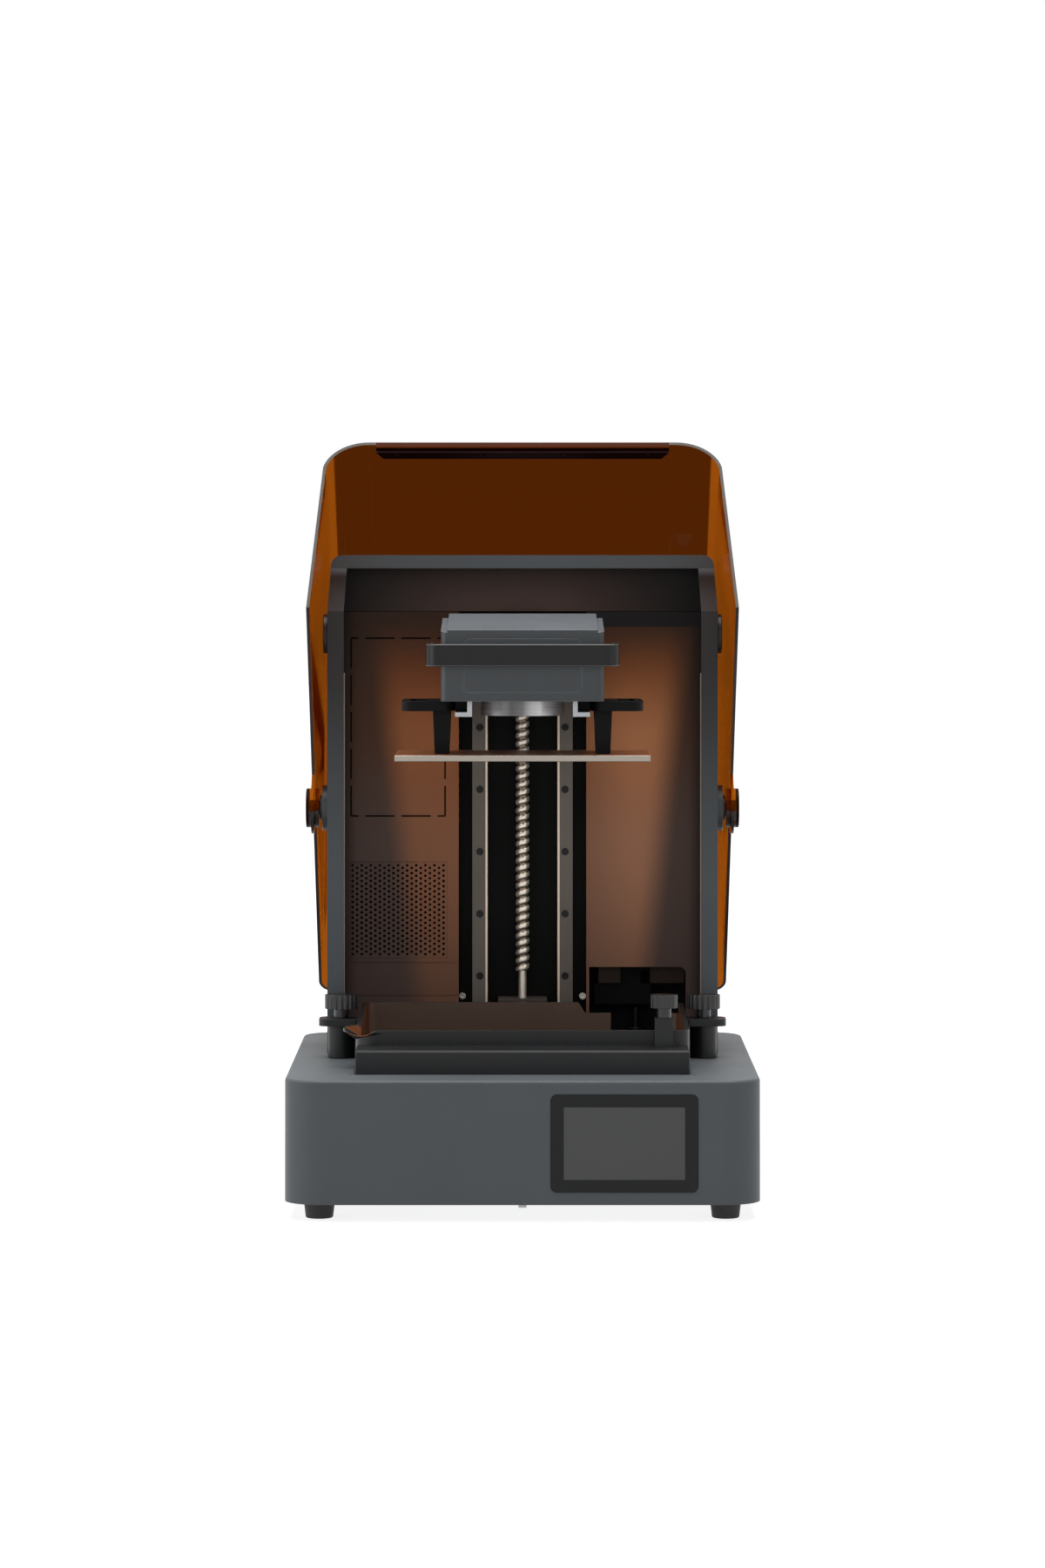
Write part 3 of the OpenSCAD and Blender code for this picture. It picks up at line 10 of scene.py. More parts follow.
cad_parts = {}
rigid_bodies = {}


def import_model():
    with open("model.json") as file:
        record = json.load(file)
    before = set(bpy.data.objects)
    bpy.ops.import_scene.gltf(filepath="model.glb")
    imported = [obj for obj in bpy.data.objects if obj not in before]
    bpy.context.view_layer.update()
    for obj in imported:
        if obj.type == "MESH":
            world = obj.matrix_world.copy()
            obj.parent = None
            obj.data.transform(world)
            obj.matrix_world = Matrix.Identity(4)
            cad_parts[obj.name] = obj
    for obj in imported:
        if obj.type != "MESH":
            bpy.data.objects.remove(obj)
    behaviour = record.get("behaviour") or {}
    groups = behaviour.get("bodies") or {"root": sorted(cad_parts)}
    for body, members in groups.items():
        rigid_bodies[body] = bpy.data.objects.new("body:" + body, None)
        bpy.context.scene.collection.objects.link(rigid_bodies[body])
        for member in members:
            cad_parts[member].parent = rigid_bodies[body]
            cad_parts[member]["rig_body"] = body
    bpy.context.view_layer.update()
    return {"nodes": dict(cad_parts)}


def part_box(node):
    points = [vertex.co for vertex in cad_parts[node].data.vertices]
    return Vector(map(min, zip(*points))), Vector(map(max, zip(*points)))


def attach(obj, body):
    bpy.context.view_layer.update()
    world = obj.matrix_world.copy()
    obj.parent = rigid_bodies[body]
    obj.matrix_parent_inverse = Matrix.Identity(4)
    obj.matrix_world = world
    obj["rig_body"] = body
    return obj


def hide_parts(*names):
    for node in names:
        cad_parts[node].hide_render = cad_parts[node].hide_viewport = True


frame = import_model()
NODES = frame["nodes"]

# ---------------------------------------------------------------- camera
PHOTO_ROWS = 1801          # height of the photo, its longer side
FOCAL_PX = 5816.0          # focal length in pixels of the photo's frame
HORIZON_ROW = 624.0        # row of the photo at the camera's own height
SENSOR = 36.0
CAMERA_PLACE = (0.0, -3.956, 0.5053)
CLIP_NEAR, CLIP_FAR = 0.1, 60


def make_camera():
    data = bpy.data.cameras.new("camera")
    data.sensor_fit = "AUTO"
    data.sensor_width = SENSOR
    data.lens = FOCAL_PX * SENSOR / PHOTO_ROWS
    data.shift_y = (HORIZON_ROW - PHOTO_ROWS / 2) / PHOTO_ROWS
    data.clip_start = CLIP_NEAR
    data.clip_end = CLIP_FAR
    camera = bpy.data.objects.new("camera", data)
    camera.location = CAMERA_PLACE
    camera.rotation_euler = (math.radians(90), 0, 0)
    bpy.context.scene.collection.objects.link(camera)
    bpy.context.scene.camera = camera
    bpy.context.scene.view_settings.view_transform = "Standard"


make_camera()


# ---------------------------------------------------------------- shader helpers
def srgb(code):
    """A #rrggbb colour as linear values."""
    out = []
    for i in (1, 3, 5):
        c = int(code[i:i + 2], 16) / 255
        out.append(c / 12.92 if c <= 0.04045 else ((c + 0.055) / 1.055) ** 2.4)
    return tuple(out)


def grey(value):
    return (value, value, value)


def new_material(name):
    m = bpy.data.materials.new(name)
    m.use_nodes = True
    nt = m.node_tree
    nt.nodes.clear()
    out = nt.nodes.new("ShaderNodeOutputMaterial")
    bsdf = nt.nodes.new("ShaderNodeBsdfPrincipled")
    nt.links.new(bsdf.outputs[0], out.inputs[0])
    return m, nt, bsdf


def feed(nt, socket, value):
    """Puts a number, a colour or another node's socket into an input."""
    if isinstance(value, (int, float)):
        socket.default_value = value
    elif isinstance(value, tuple):
        socket.default_value = (*value, 1)
    else:
        nt.links.new(value, socket)


def coords(nt, scale=(1, 1, 1)):
    tex = nt.nodes.new("ShaderNodeTexCoord")
    mapping = nt.nodes.new("ShaderNodeMapping")
    mapping.inputs["Scale"].default_value = scale
    nt.links.new(tex.outputs["Object"], mapping.inputs["Vector"])
    return mapping.outputs[0]


def components(nt, kind):
    """The x, y and z of a texture coordinate of the given kind."""
    tex = nt.nodes.new("ShaderNodeTexCoord")
    xyz = nt.nodes.new("ShaderNodeSeparateXYZ")
    nt.links.new(tex.outputs[kind], xyz.inputs[0])
    return xyz.outputs[0], xyz.outputs[1], xyz.outputs[2]


def noise(nt, vector, scale, detail=3.0, rough=0.55):
    n = nt.nodes.new("ShaderNodeTexNoise")
    n.inputs["Scale"].default_value = scale
    n.inputs["Detail"].default_value = detail
    n.inputs["Roughness"].default_value = rough
    nt.links.new(vector, n.inputs["Vector"])
    return n.outputs["Fac"]


def math_node(nt, operation, *values):
    n = nt.nodes.new("ShaderNodeMath")
    n.operation = operation
    for socket, value in zip(n.inputs, values):
        feed(nt, socket, value)
    return n.outputs[0]


def times(nt, product, *others):
    for other in others:
        product = math_node(nt, "MULTIPLY", product, other)
    return product


def mix_colour(nt, fac, a, b, blend="MIX"):
    n = nt.nodes.new("ShaderNodeMix")
    n.data_type = "RGBA"
    n.blend_type = blend
    for i, value in ((0, fac), (6, a), (7, b)):
        feed(nt, n.inputs[i], value)
    return n.outputs[2]


def ramp(nt, fac, stops):
    r = nt.nodes.new("ShaderNodeValToRGB")
    els = r.color_ramp.elements
    while len(els) < len(stops):
        els.new(0.5)
    for el, (pos, colour) in zip(els, stops):
        el.position = pos
        el.color = (*colour, 1)
    nt.links.new(fac, r.inputs[0])
    return r.outputs[0]


NOISE_LOW, NOISE_HIGH = 0.3, 0.7           # the part of a noise's range that is used


def two_tones(nt, fac, low, high):
    """A colour that goes from low to high with a noise."""
    return ramp(nt, fac, [(NOISE_LOW, low), (NOISE_HIGH, high)])


def varied(nt, fac, rgb, share):
    """A colour that goes with a noise from darker to lighter by the given share."""
    return two_tones(nt, fac, *(tuple(min(1, c * k) for c in rgb) for k in (1 - share, 1 + share)))


def to_range(nt, fac, start, end, low=NOISE_LOW, high=NOISE_HIGH):
    """A value that goes evenly from start, where fac is low, to end, where fac is high."""
    r = nt.nodes.new("ShaderNodeMapRange")
    for key, value in (("From Min", low), ("From Max", high), ("To Min", start), ("To Max", end)):
        r.inputs[key].default_value = value
    nt.links.new(fac, r.inputs["Value"])
    return r.outputs[0]


def eased(nt, value, low, high, start=0.0, end=1.0):
    """start where the value is below low, end where it is above high, and a soft change between."""
    out = to_range(nt, value, start, end, low, high)
    out.node.interpolation_type = "SMOOTHSTEP"
    return out


def bump(nt, bsdf, height, strength, distance):
    b = nt.nodes.new("ShaderNodeBump")
    b.inputs["Strength"].default_value = strength
    b.inputs["Distance"].default_value = distance
    nt.links.new(height, b.inputs["Height"])
    nt.links.new(b.outputs[0], bsdf.inputs["Normal"])


# ---------------------------------------------------------------- kinds of material
GRAIN_HEIGHT = 0.00006     # of paint and moulded plastic
LINE_HEIGHT = 0.00004      # of the lines in brushed and turned metal


def moulded(name, code, rough=0.5, grain=2600, depth=0.25, vary=0.06, metal=0.0, coat=0.0, spec=0.5):
    """Paint or moulded plastic: a fine grain in its surface, and slow changes of tone and gloss."""
    m, nt, bsdf = new_material(name)
    v = coords(nt)
    slow = noise(nt, v, 11, 4)
    fine = noise(nt, v, grain, 2, 0.6)
    nt.links.new(varied(nt, slow, srgb(code), vary), bsdf.inputs["Base Color"])
    gloss = math_node(nt, "MULTIPLY_ADD", fine, 0.5, slow)
    nt.links.new(to_range(nt, gloss, rough - 0.05, rough + 0.06, 0.5, 1.0), bsdf.inputs["Roughness"])
    bsdf.inputs["Metallic"].default_value = metal
    bsdf.inputs["Coat Weight"].default_value = coat
    bsdf.inputs["Coat Roughness"].default_value = 0.15
    bsdf.inputs["Specular IOR Level"].default_value = spec
    bump(nt, bsdf, fine, depth, GRAIN_HEIGHT)
    return m


def brushed(name, code, rough=0.3, stretch=(1, 90, 90), scale=14, depth=0.12, vary=0.10, metal=1.0):
    """Metal with fine lines that run along the axis whose stretch is smallest."""
    m, nt, bsdf = new_material(name)
    lines = noise(nt, coords(nt, stretch), scale, 5, 0.65)
    slow = noise(nt, coords(nt), 9, 2)
    nt.links.new(varied(nt, lines, srgb(code), vary), bsdf.inputs["Base Color"])
    gloss = math_node(nt, "MULTIPLY_ADD", lines, 0.6, slow)
    nt.links.new(to_range(nt, gloss, rough - 0.07, rough + 0.09, 0.55, 1.05), bsdf.inputs["Roughness"])
    bsdf.inputs["Metallic"].default_value = metal
    bump(nt, bsdf, lines, depth, LINE_HEIGHT)
    return m


def tinted(name, code, rough=0.04, ior=1.1, clear=1.0):
    """Tinted plastic: a ray that passes both faces of its wall takes the colour once."""
    m, nt, bsdf = new_material(name)
    bsdf.inputs["Base Color"].default_value = (*srgb(code), 1)
    bsdf.inputs["Transmission Weight"].default_value = clear
    bsdf.inputs["IOR"].default_value = ior
    smear = noise(nt, coords(nt), 26, 4)
    nt.links.new(to_range(nt, smear, rough - 0.02, rough + 0.03), bsdf.inputs["Roughness"])
    return m


# ---------------------------------------------------------------- turned aluminium of the disc, with painted reflections
DISC_WIDE = 0.066
# painted reflections as greys across the disc: one dark band left of the middle, between two bright ones
DISC_REFLECTION_BANDS = ((0.02, 0.30), (0.17, 0.80), (0.28, 0.30), (0.37, 0.09),
              (0.50, 0.16), (0.60, 0.60), (0.70, 0.82), (0.98, 0.55))


def disc_material():
    """Turned aluminium whose round side shows bands of painted reflection, as it does in the photo."""
    m, nt, bsdf = new_material("disc_aluminium_painted_reflections")
    x = components(nt, "Object")[0]
    lines = noise(nt, coords(nt, (1.5, 1.5, 150)), 14, 3)
    across = math_node(nt, "ADD", math_node(nt, "DIVIDE", x, DISC_WIDE), 0.5)
    bands = ramp(nt, across, [(place, grey(value)) for place, value in DISC_REFLECTION_BANDS])
    fine = mix_colour(nt, to_range(nt, lines, 0.0, 0.10), bands, grey(0.9))
    nt.links.new(fine, bsdf.inputs["Base Color"])
    bsdf.inputs["Metallic"].default_value = 0.35
    nt.links.new(to_range(nt, lines, 0.24, 0.36), bsdf.inputs["Roughness"])
    bump(nt, bsdf, lines, 0.06, LINE_HEIGHT)
    return m


# ---------------------------------------------------------------- back panels under the tinted lid
# A soft change is (low, high, start, end), as eased takes them, in places x or heights z.
SEAM_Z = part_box("upper_panel")[0].z                  # where the back panel meets the upper panel
SEAM_ABOVE = (SEAM_Z - 0.001, SEAM_Z + 0.001)
GLOW_HALF, GLOW_LEAN = 0.0765, 0.1075                # half width at the floor, and how it widens upwards
GLOW_SHIFT = 0.0065                                  # its middle lies a little to the right
GLOW_EDGE = (-0.016, 0.012, 1.0, 0.0)                # across its leaning edge
GLOW_TOP = (SEAM_Z - 0.101, SEAM_Z - 0.001, 1.0, 0.0)
GLOW_LOW = (0.10, 0.25, 0.40, 1.0)                   # weaker near the floor
GLOW_LEFT = (0.045, 0.095, 0.62, 1.0)                # weaker except on its right
TURNS_PEACH, TURNS_ORANGE = (0.25, 0.35), (0.35, 0.43)
WARM_SIDE, WARM_TINT = (-0.03, 0.03), (1.0, 0.85, 0.70)    # tint of its left half
# beside the glow, painted shade darkens the panel towards its sides and its top
INNER_SIDES = (0.131, 0.147, 1.0, 0.0)               # brown beside the glow, dark at the sides
INNER_HEIGHTS = (0.33, 0.45, 1.0, 0.55)
TURNS_BROWN = (0.26, 0.36)
# painted shade on the upper panel: lightest left of its middle, darker towards its sides and its top
UPPER_SHIFT = 0.012                                  # the upper panel is lightest left of its middle
UPPER_SIDES = (0.030, 0.150, 1.0, 0.0)
UPPER_HEIGHTS = (SEAM_Z, SEAM_Z + 0.04, 1.0, 0.5)
SHADE_HEIGHTS = (SEAM_Z - 0.0135, SEAM_Z - 0.0115)   # shade below the upper panel, on the right
SHADE_SIDE = (0.050, 0.054)
# tones of the panels: their glow is painted light, their dark parts painted shade
PANEL_DEEP_SHADE, PANEL_MID, PANEL_WARM, PANEL_UPPER = "#1c1918", "#67544d", "#5e4132", "#5c4b45"
PANEL_LOW, PANEL_LIT, PANEL_HIGH, PANEL_SHADE = "#cf9372", "#d68d60", "#d67c3e", "#211e1e"


def glow_share(nt, x, z):
    """1 where the lid's warm light falls on the back panel; its edge leans outwards on the way up."""
    across = math_node(nt, "SUBTRACT", x, GLOW_SHIFT)
    edge = math_node(nt, "MULTIPLY_ADD", z, GLOW_LEAN, GLOW_HALF)
    past_edge = math_node(nt, "SUBTRACT", math_node(nt, "ABSOLUTE", across), edge)
    inside = times(nt, eased(nt, past_edge, *GLOW_EDGE), eased(nt, z, *GLOW_TOP))
    weaker = times(nt, eased(nt, z, *GLOW_LOW), eased(nt, x, *GLOW_LEFT))
    patches = to_range(nt, noise(nt, coords(nt), 7, 3), 0.93, 1.05)
    return times(nt, inside, weaker, patches)


# brown beside the glow, with painted shade at the sides and higher up
def beside_glow(nt, x, z):
    inner = times(nt, eased(nt, math_node(nt, "ABSOLUTE", x), *INNER_SIDES), eased(nt, z, *INNER_HEIGHTS))
    brown = mix_colour(nt, eased(nt, z, *TURNS_BROWN), srgb(PANEL_MID), srgb(PANEL_WARM))
    return mix_colour(nt, inner, srgb(PANEL_DEEP_SHADE), brown)


def in_glow(nt, x, z):
    tone = mix_colour(nt, eased(nt, z, *TURNS_PEACH), srgb(PANEL_LOW), srgb(PANEL_LIT))
    tone = mix_colour(nt, eased(nt, z, *TURNS_ORANGE), tone, srgb(PANEL_HIGH))
    tint = mix_colour(nt, eased(nt, x, *WARM_SIDE), WARM_TINT, grey(1.0))
    return mix_colour(nt, 1.0, tone, tint, "MULTIPLY")


def above_seam(nt, x, z):
    """The upper panel is dark, with painted shade that deepens towards its sides and its top."""
    from_middle = math_node(nt, "ABSOLUTE", math_node(nt, "ADD", x, UPPER_SHIFT))
    middle = times(nt, eased(nt, from_middle, *UPPER_SIDES), eased(nt, z, *UPPER_HEIGHTS))
    return mix_colour(nt, middle, srgb(PANEL_DEEP_SHADE), srgb(PANEL_UPPER))


def panel_material():
    """Painted back panels whose colour carries painted light and shade: the warm glow which the tinted lid
    throws into the chamber, shade at their sides and on the upper panel, and shade below it on the right.
    """
    m, nt, bsdf = new_material("panels_with_painted_glow_and_shade")
    x, _, z = components(nt, "Object")
    under = mix_colour(nt, glow_share(nt, x, z), beside_glow(nt, x, z), in_glow(nt, x, z))
    tone = mix_colour(nt, eased(nt, z, *SEAM_ABOVE), under, above_seam(nt, x, z))
    below = eased(nt, z, *SEAM_ABOVE, 1.0, 0.0)
    shaded = times(nt, eased(nt, z, *SHADE_HEIGHTS), below, eased(nt, x, *SHADE_SIDE))
    nt.links.new(mix_colour(nt, shaded, tone, srgb(PANEL_SHADE)), bsdf.inputs["Base Color"])
    fine = noise(nt, coords(nt), 2300, 2, 0.6)
    nt.links.new(to_range(nt, fine, 0.46, 0.56), bsdf.inputs["Roughness"])
    bsdf.inputs["Specular IOR Level"].default_value = 0.15
    bump(nt, bsdf, fine, 0.25, GRAIN_HEIGHT)
    return m


# ---------------------------------------------------------------- chamber and display
CHAMBER_PAINT, CHAMBER_VARY = "#4f5457", 0.05
# painted shade on the front edge, below and above the bend
CHAMBER_EDGE_SHADE, CHAMBER_LEANING_SHADE = "#252323", "#131212"       # its front edge below and above the bend
FACES_FRONT = (0.25, 0.38)                                 # how far a face is turned to the front
SHADE_BEGINS, SHADE_ENDS = (0.24, 0.42), (0.478, 0.4855, 1.0, 0.0)
BEND = (SEAM_Z + 0.0008, SEAM_Z + 0.0018)
DISPLAY_TONES = "#2c2d2e", "#303132"


def chamber_material():
    """Casing paint whose front edge darkens with painted shade towards the bend under the tinted lid."""
    m, nt, bsdf = new_material("chamber_with_painted_shade")
    z = components(nt, "Object")[2]
    normal_y = components(nt, "Normal")[1]
    slow = noise(nt, coords(nt), 11, 4)
    fine = noise(nt, coords(nt), 2300, 2, 0.6)
    paint = varied(nt, slow, srgb(CHAMBER_PAINT), CHAMBER_VARY)
    front = eased(nt, times(nt, normal_y, -1.0), *FACES_FRONT)
    dark = times(nt, front, eased(nt, z, *SHADE_BEGINS), eased(nt, z, *SHADE_ENDS))
    shaded = mix_colour(nt, eased(nt, z, *BEND), srgb(CHAMBER_EDGE_SHADE), srgb(CHAMBER_LEANING_SHADE))
    nt.links.new(mix_colour(nt, dark, paint, shaded), bsdf.inputs["Base Color"])
    nt.links.new(to_range(nt, fine, 0.40, 0.50), bsdf.inputs["Roughness"])
    bsdf.inputs["Specular IOR Level"].default_value = 0.26
    bump(nt, bsdf, fine, 0.30, GRAIN_HEIGHT)
    return m


def display_material():
    """A display that shows nothing: dark grey, with slow changes of tone."""
    m, nt, bsdf = new_material("display_backlit")
    slow = noise(nt, coords(nt), 5, 2)
    nt.links.new(two_tones(nt, slow, *(srgb(code) for code in DISPLAY_TONES)), bsdf.inputs["Base Color"])
    fine = noise(nt, coords(nt), 4000, 1)
    nt.links.new(to_range(nt, fine, 0.20, 0.24), bsdf.inputs["Roughness"])
    return m


# ---------------------------------------------------------------- table of materials
ACROSS_PLATE, ALONG_RAIL, AROUND = (1.0, 70, 90), (60, 60, 0.6), (3, 3, 120)    # how metal is brushed

MAT = {
    # paint and plastic: colour, roughness, scale and depth of the grain, share by which the tone varies
    "casing": moulded("casing_paint", "#54595c", 0.48, 2300, 0.30, 0.05, spec=0.28),
    "rear": moulded("rear_cover_paint", "#45494c", 0.5, 2300, 0.30, 0.05),
    "black": moulded("black_plastic", "#19191a", 0.40, 1500, 0.35, 0.12, spec=0.35),
    "vat": moulded("vat_plastic", "#17181a", 0.38, 900, 0.22, 0.12, spec=0.28),
    # painted light on the vat: warm light on its rear wall, orange light in its spout and on its right wall,
    # highlights along its front edges
    "vat_painted_warm": moulded("painted_warm_light_vat_wall", "#665043", 0.40, 900, 0.20, 0.06, spec=0.3),
    "vat_spout": moulded("painted_orange_light_vat", "#6a3c20", 0.34, 260, 0.20, 0.30, spec=0.4),
    "vat_edge": moulded("vat_rim_painted_highlight", "#4c4c4c", 0.40, 900, 0.15, 0.08),
    "rubber": moulded("foot_rubber", "#0d0d0e", 0.62, 1700, 0.5, 0.2),
    "bezel": moulded("bezel_black", "#101112", 0.34, 3000, 0.08, 0.06, spec=0.2),
    "lcd": moulded("lcd_glass", "#0a0b0d", 0.12, 3000, 0.04, 0.05, coat=0.6),
    "head": moulded("head_paint", "#43474a", 0.38, 2500, 0.22, 0.04, spec=0.35),
    # lighter copies of paint: painted light on the head's top faces, painted highlights on the soft edges of
    # the head and the lever
    "head_top": moulded("head_top_with_painted_light", "#585d61", 0.40, 2500, 0.22, 0.04, spec=0.35),
    "head_edge": moulded("head_edge_with_painted_highlight", "#7b8084", 0.34, 2500, 0.15, 0.04, coat=0.1),
    "lever": moulded("lever_plastic", "#0f0f10", 0.34, 2000, 0.20, 0.12, spec=0.25),
    "lever_edge": moulded("lever_edge_with_painted_highlight", "#3c3c3c", 0.30, 2000, 0.15, 0.10),
    "handle": moulded("handle_plastic", "#030303", 0.42, 2000, 0.20, 0.12, spec=0.10),
    "knob": moulded("knob_plastic", "#121213", 0.26, 2000, 0.20, 0.12, spec=0.4, coat=0.1),
    "black_metal": moulded("black_anodised", "#050403", 0.5, 2200, 0.2, 0.15, spec=0.08),
    # black parts, and painted shade in holes, slots and the recess
    "void": moulded("black_and_painted_shade", "#040404", 0.7, 1200, 0.3, 0.2, spec=0.15),
    "dark_steel": moulded("blackened_steel", "#1a1a1b", 0.35, 1500, 0.2, 0.15, metal=0.7),
    "hub": moulded("hub_paint", "#2e3133", 0.4, 2000, 0.25, 0.08),
    "tab": moulded("tab_paint", "#35251d", 0.5, 1800, 0.2, 0.10, spec=0.2),
    "block": moulded("bearing_block_paint", "#4a3f3a", 0.45, 1800, 0.2, 0.06),
    # light strip for the highlight on the chamber opening's edges: painted highlight
    "opening_glint": moulded("painted_opening_highlight", "#a08d80", 0.5, 1800, 0.2, 0.06),
    "pcb": moulded("board_green", "#14502b", 0.4, 900, 0.3, 0.2),
    "led": moulded("led_white", "#dedbd0", 0.5, 900, 0.2, 0.04),
    "red": moulded("rocker_red", "#8f1616", 0.35, 2400, 0.15, 0.06),
    "grip": moulded("grip_dark_amber", "#180303", 0.40, 2400, 0.08, 0.1, spec=0.06),
    "lid_edge": moulded("lid_cut_edge", "#4c4641", 0.5, 2400, 0.1, 0.08, spec=0.15),
    "lid_edge_dark": moulded("lid_rear_edge", "#1e0c06", 0.36, 2400, 0.15, 0.1, spec=0.3),
    "lid_rim": moulded("lid_rim_brown", "#4a2a20", 0.5, 2400, 0.1, 0.08, spec=0.0),
    # metal: colour, roughness, how it is brushed, scale and depth of the lines, share of tone, metallic
    "steel": brushed("ground_steel", "#cfcac4", 0.22, (40, 40, 4), 18, 0.10, 0.08),
    # the screw's steel carries painted warm light, and its thread roots painted shade
    "bright": brushed("screw_steel_painted_warm", "#fdeedd", 0.36, AROUND, 20, 0.05, 0.08, 0.6),
    "thread_root": brushed("thread_root_painted_shade", "#8f7d6d", 0.32, AROUND, 20, 0.05, 0.10, 0.7),
    # rail steel tinted by painted warm light, and its ground strip lit by a painted warm highlight
    "rail": brushed("rail_steel", "#6c635b", 0.50, ALONG_RAIL, 12, 0.03, 0.06, 0.3),
    "rail_edge": brushed("ground_strip_with_painted_highlight", "#ffe6cf", 0.4, ALONG_RAIL, 12, 0.05, 0.05, 0.3),
    "alu": brushed("brushed_aluminium", "#a9abad", 0.42, (1.2, 90, 90), 12, 0.12, 0.08, 0.7),
    "plate": brushed("platform_aluminium", "#9a9288", 0.30, ACROSS_PLATE, 12, 0.12, 0.06, 0.8),
    # the platform's upper face in painted warm light
    "plate_painted_light": brushed("platform_top_painted_light", "#8a5638", 0.34, ACROSS_PLATE, 12, 0.12, 0.10, 0.4),
    "disc": disc_material(),
    # see-through: colour, roughness, refraction, share that is clear
    "lid_front": tinted("lid_tint_front", "#502203"),
    "lid_side": tinted("lid_tint_side", "#b05c10", 0.04, 1.04, 0.75),
    "film": tinted("release_film", "#9fb4c4", 0.06, 1.15),
    # what the light in the chamber colours
    "panel": panel_material(),
    "chamber": chamber_material(),
    "display": display_material(),
}

# ---------------------------------------------------------------- how pieces are made
X, Y, Z = Vector((1, 0, 0)), Vector((0, 1, 0)), Vector((0, 0, 1))
WELD = 0.00001             # vertices closer than this become one
FLAT = math.radians(0.6)   # triangles of one flat face are joined up to this angle
SHARP = math.radians(32)   # edges above this angle stay sharp
ON_FACE = 0.0005           # a face whose centre is this near to a plane lies on it
FACING = 0.5               # part of the normal above which a face looks along an axis


def finish_mesh(obj):
    obj.data.shade_smooth()
    obj.data.set_sharp_from_angle(angle=SHARP)


def add_bevel(obj, width, segments=2, angle=30, edge=-1):
    """Soft edges. edge is the number of the material that they take, or -1 for that of their neighbours."""
    b = obj.modifiers.new("soft_edges", "BEVEL")
    b.width = width
    b.segments = segments
    b.limit_method = "ANGLE"
    b.angle_limit = math.radians(angle)
    b.use_clamp_overlap = True
    b.miter_outer = "MITER_ARC"
    b.material = edge
    w = obj.modifiers.new("weighted_normals", "WEIGHTED_NORMAL")
    w.keep_sharp = True
    w.weight = 100


def node_mesh(node, join=True):
    """A welded copy of a CAD node's mesh. join makes one face of the triangles of each flat face."""
    bm = bmesh.new()
    bm.from_mesh(NODES[node].data)
    bmesh.ops.remove_doubles(bm, verts=bm.verts, dist=WELD)
    if join:
        bmesh.ops.dissolve_limit(bm, angle_limit=FLAT, verts=bm.verts, edges=bm.edges)
    bmesh.ops.recalc_face_normals(bm, faces=bm.faces)
    return bm


def cut_across(bm, axis, places):
    """Cuts the faces of a mesh by planes across an axis."""
    for place in places:
        geom = bm.verts[:] + bm.edges[:] + bm.faces[:]
        bmesh.ops.bisect_plane(bm, geom=geom, plane_co=axis * place, plane_no=axis)


def new_object(name, bm, looks, body):
    """Makes a mesh into a piece that rides on a body; looks are keys of MAT."""
    me = bpy.data.meshes.new(name)
    bm.to_mesh(me)
    bm.free()
    for look in looks:
        me.materials.append(MAT[look])
    obj = bpy.data.objects.new(name, me)
    bpy.context.scene.collection.objects.link(obj)
    finish_mesh(obj)
    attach(obj, body)
    return obj


def body_name(node):
    return NODES[node]["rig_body"]


def dress(node, look, width=0.0, segments=2):
    """Shows a CAD node as a piece with soft edges that replaces it, or as it is where width is 0."""
    if not width:
        obj = NODES[node]
        obj.data.materials.clear()
        obj.data.materials.append(MAT[look])
        finish_mesh(obj)
        return
    obj = new_object("soft_" + node, node_mesh(node), [look], body_name(node))
    add_bevel(obj, width, segments)
    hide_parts(node)


def split_dress(node, looks, pick, cuts=(), width=0.0, segments=2, angle=30, edge=None):
    """Shows a CAD node whose faces take the look that pick(centre, normal) names.

    cuts are pairs of an axis and places along it. edge is the look that the soft edges take.
    """
    bm = node_mesh(node, bool(width))
    for axis, places in cuts:
        cut_across(bm, axis, places)
    for f in bm.faces:
        f.material_index = looks.index(pick(f.calc_center_median(), f.normal))
    obj = new_object("soft_" + node, bm, looks, body_name(node))
    if width:
        add_bevel(obj, width, segments, angle, looks.index(edge) if edge else -1)
    else:
        obj.data.shade_flat()
    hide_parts(node)


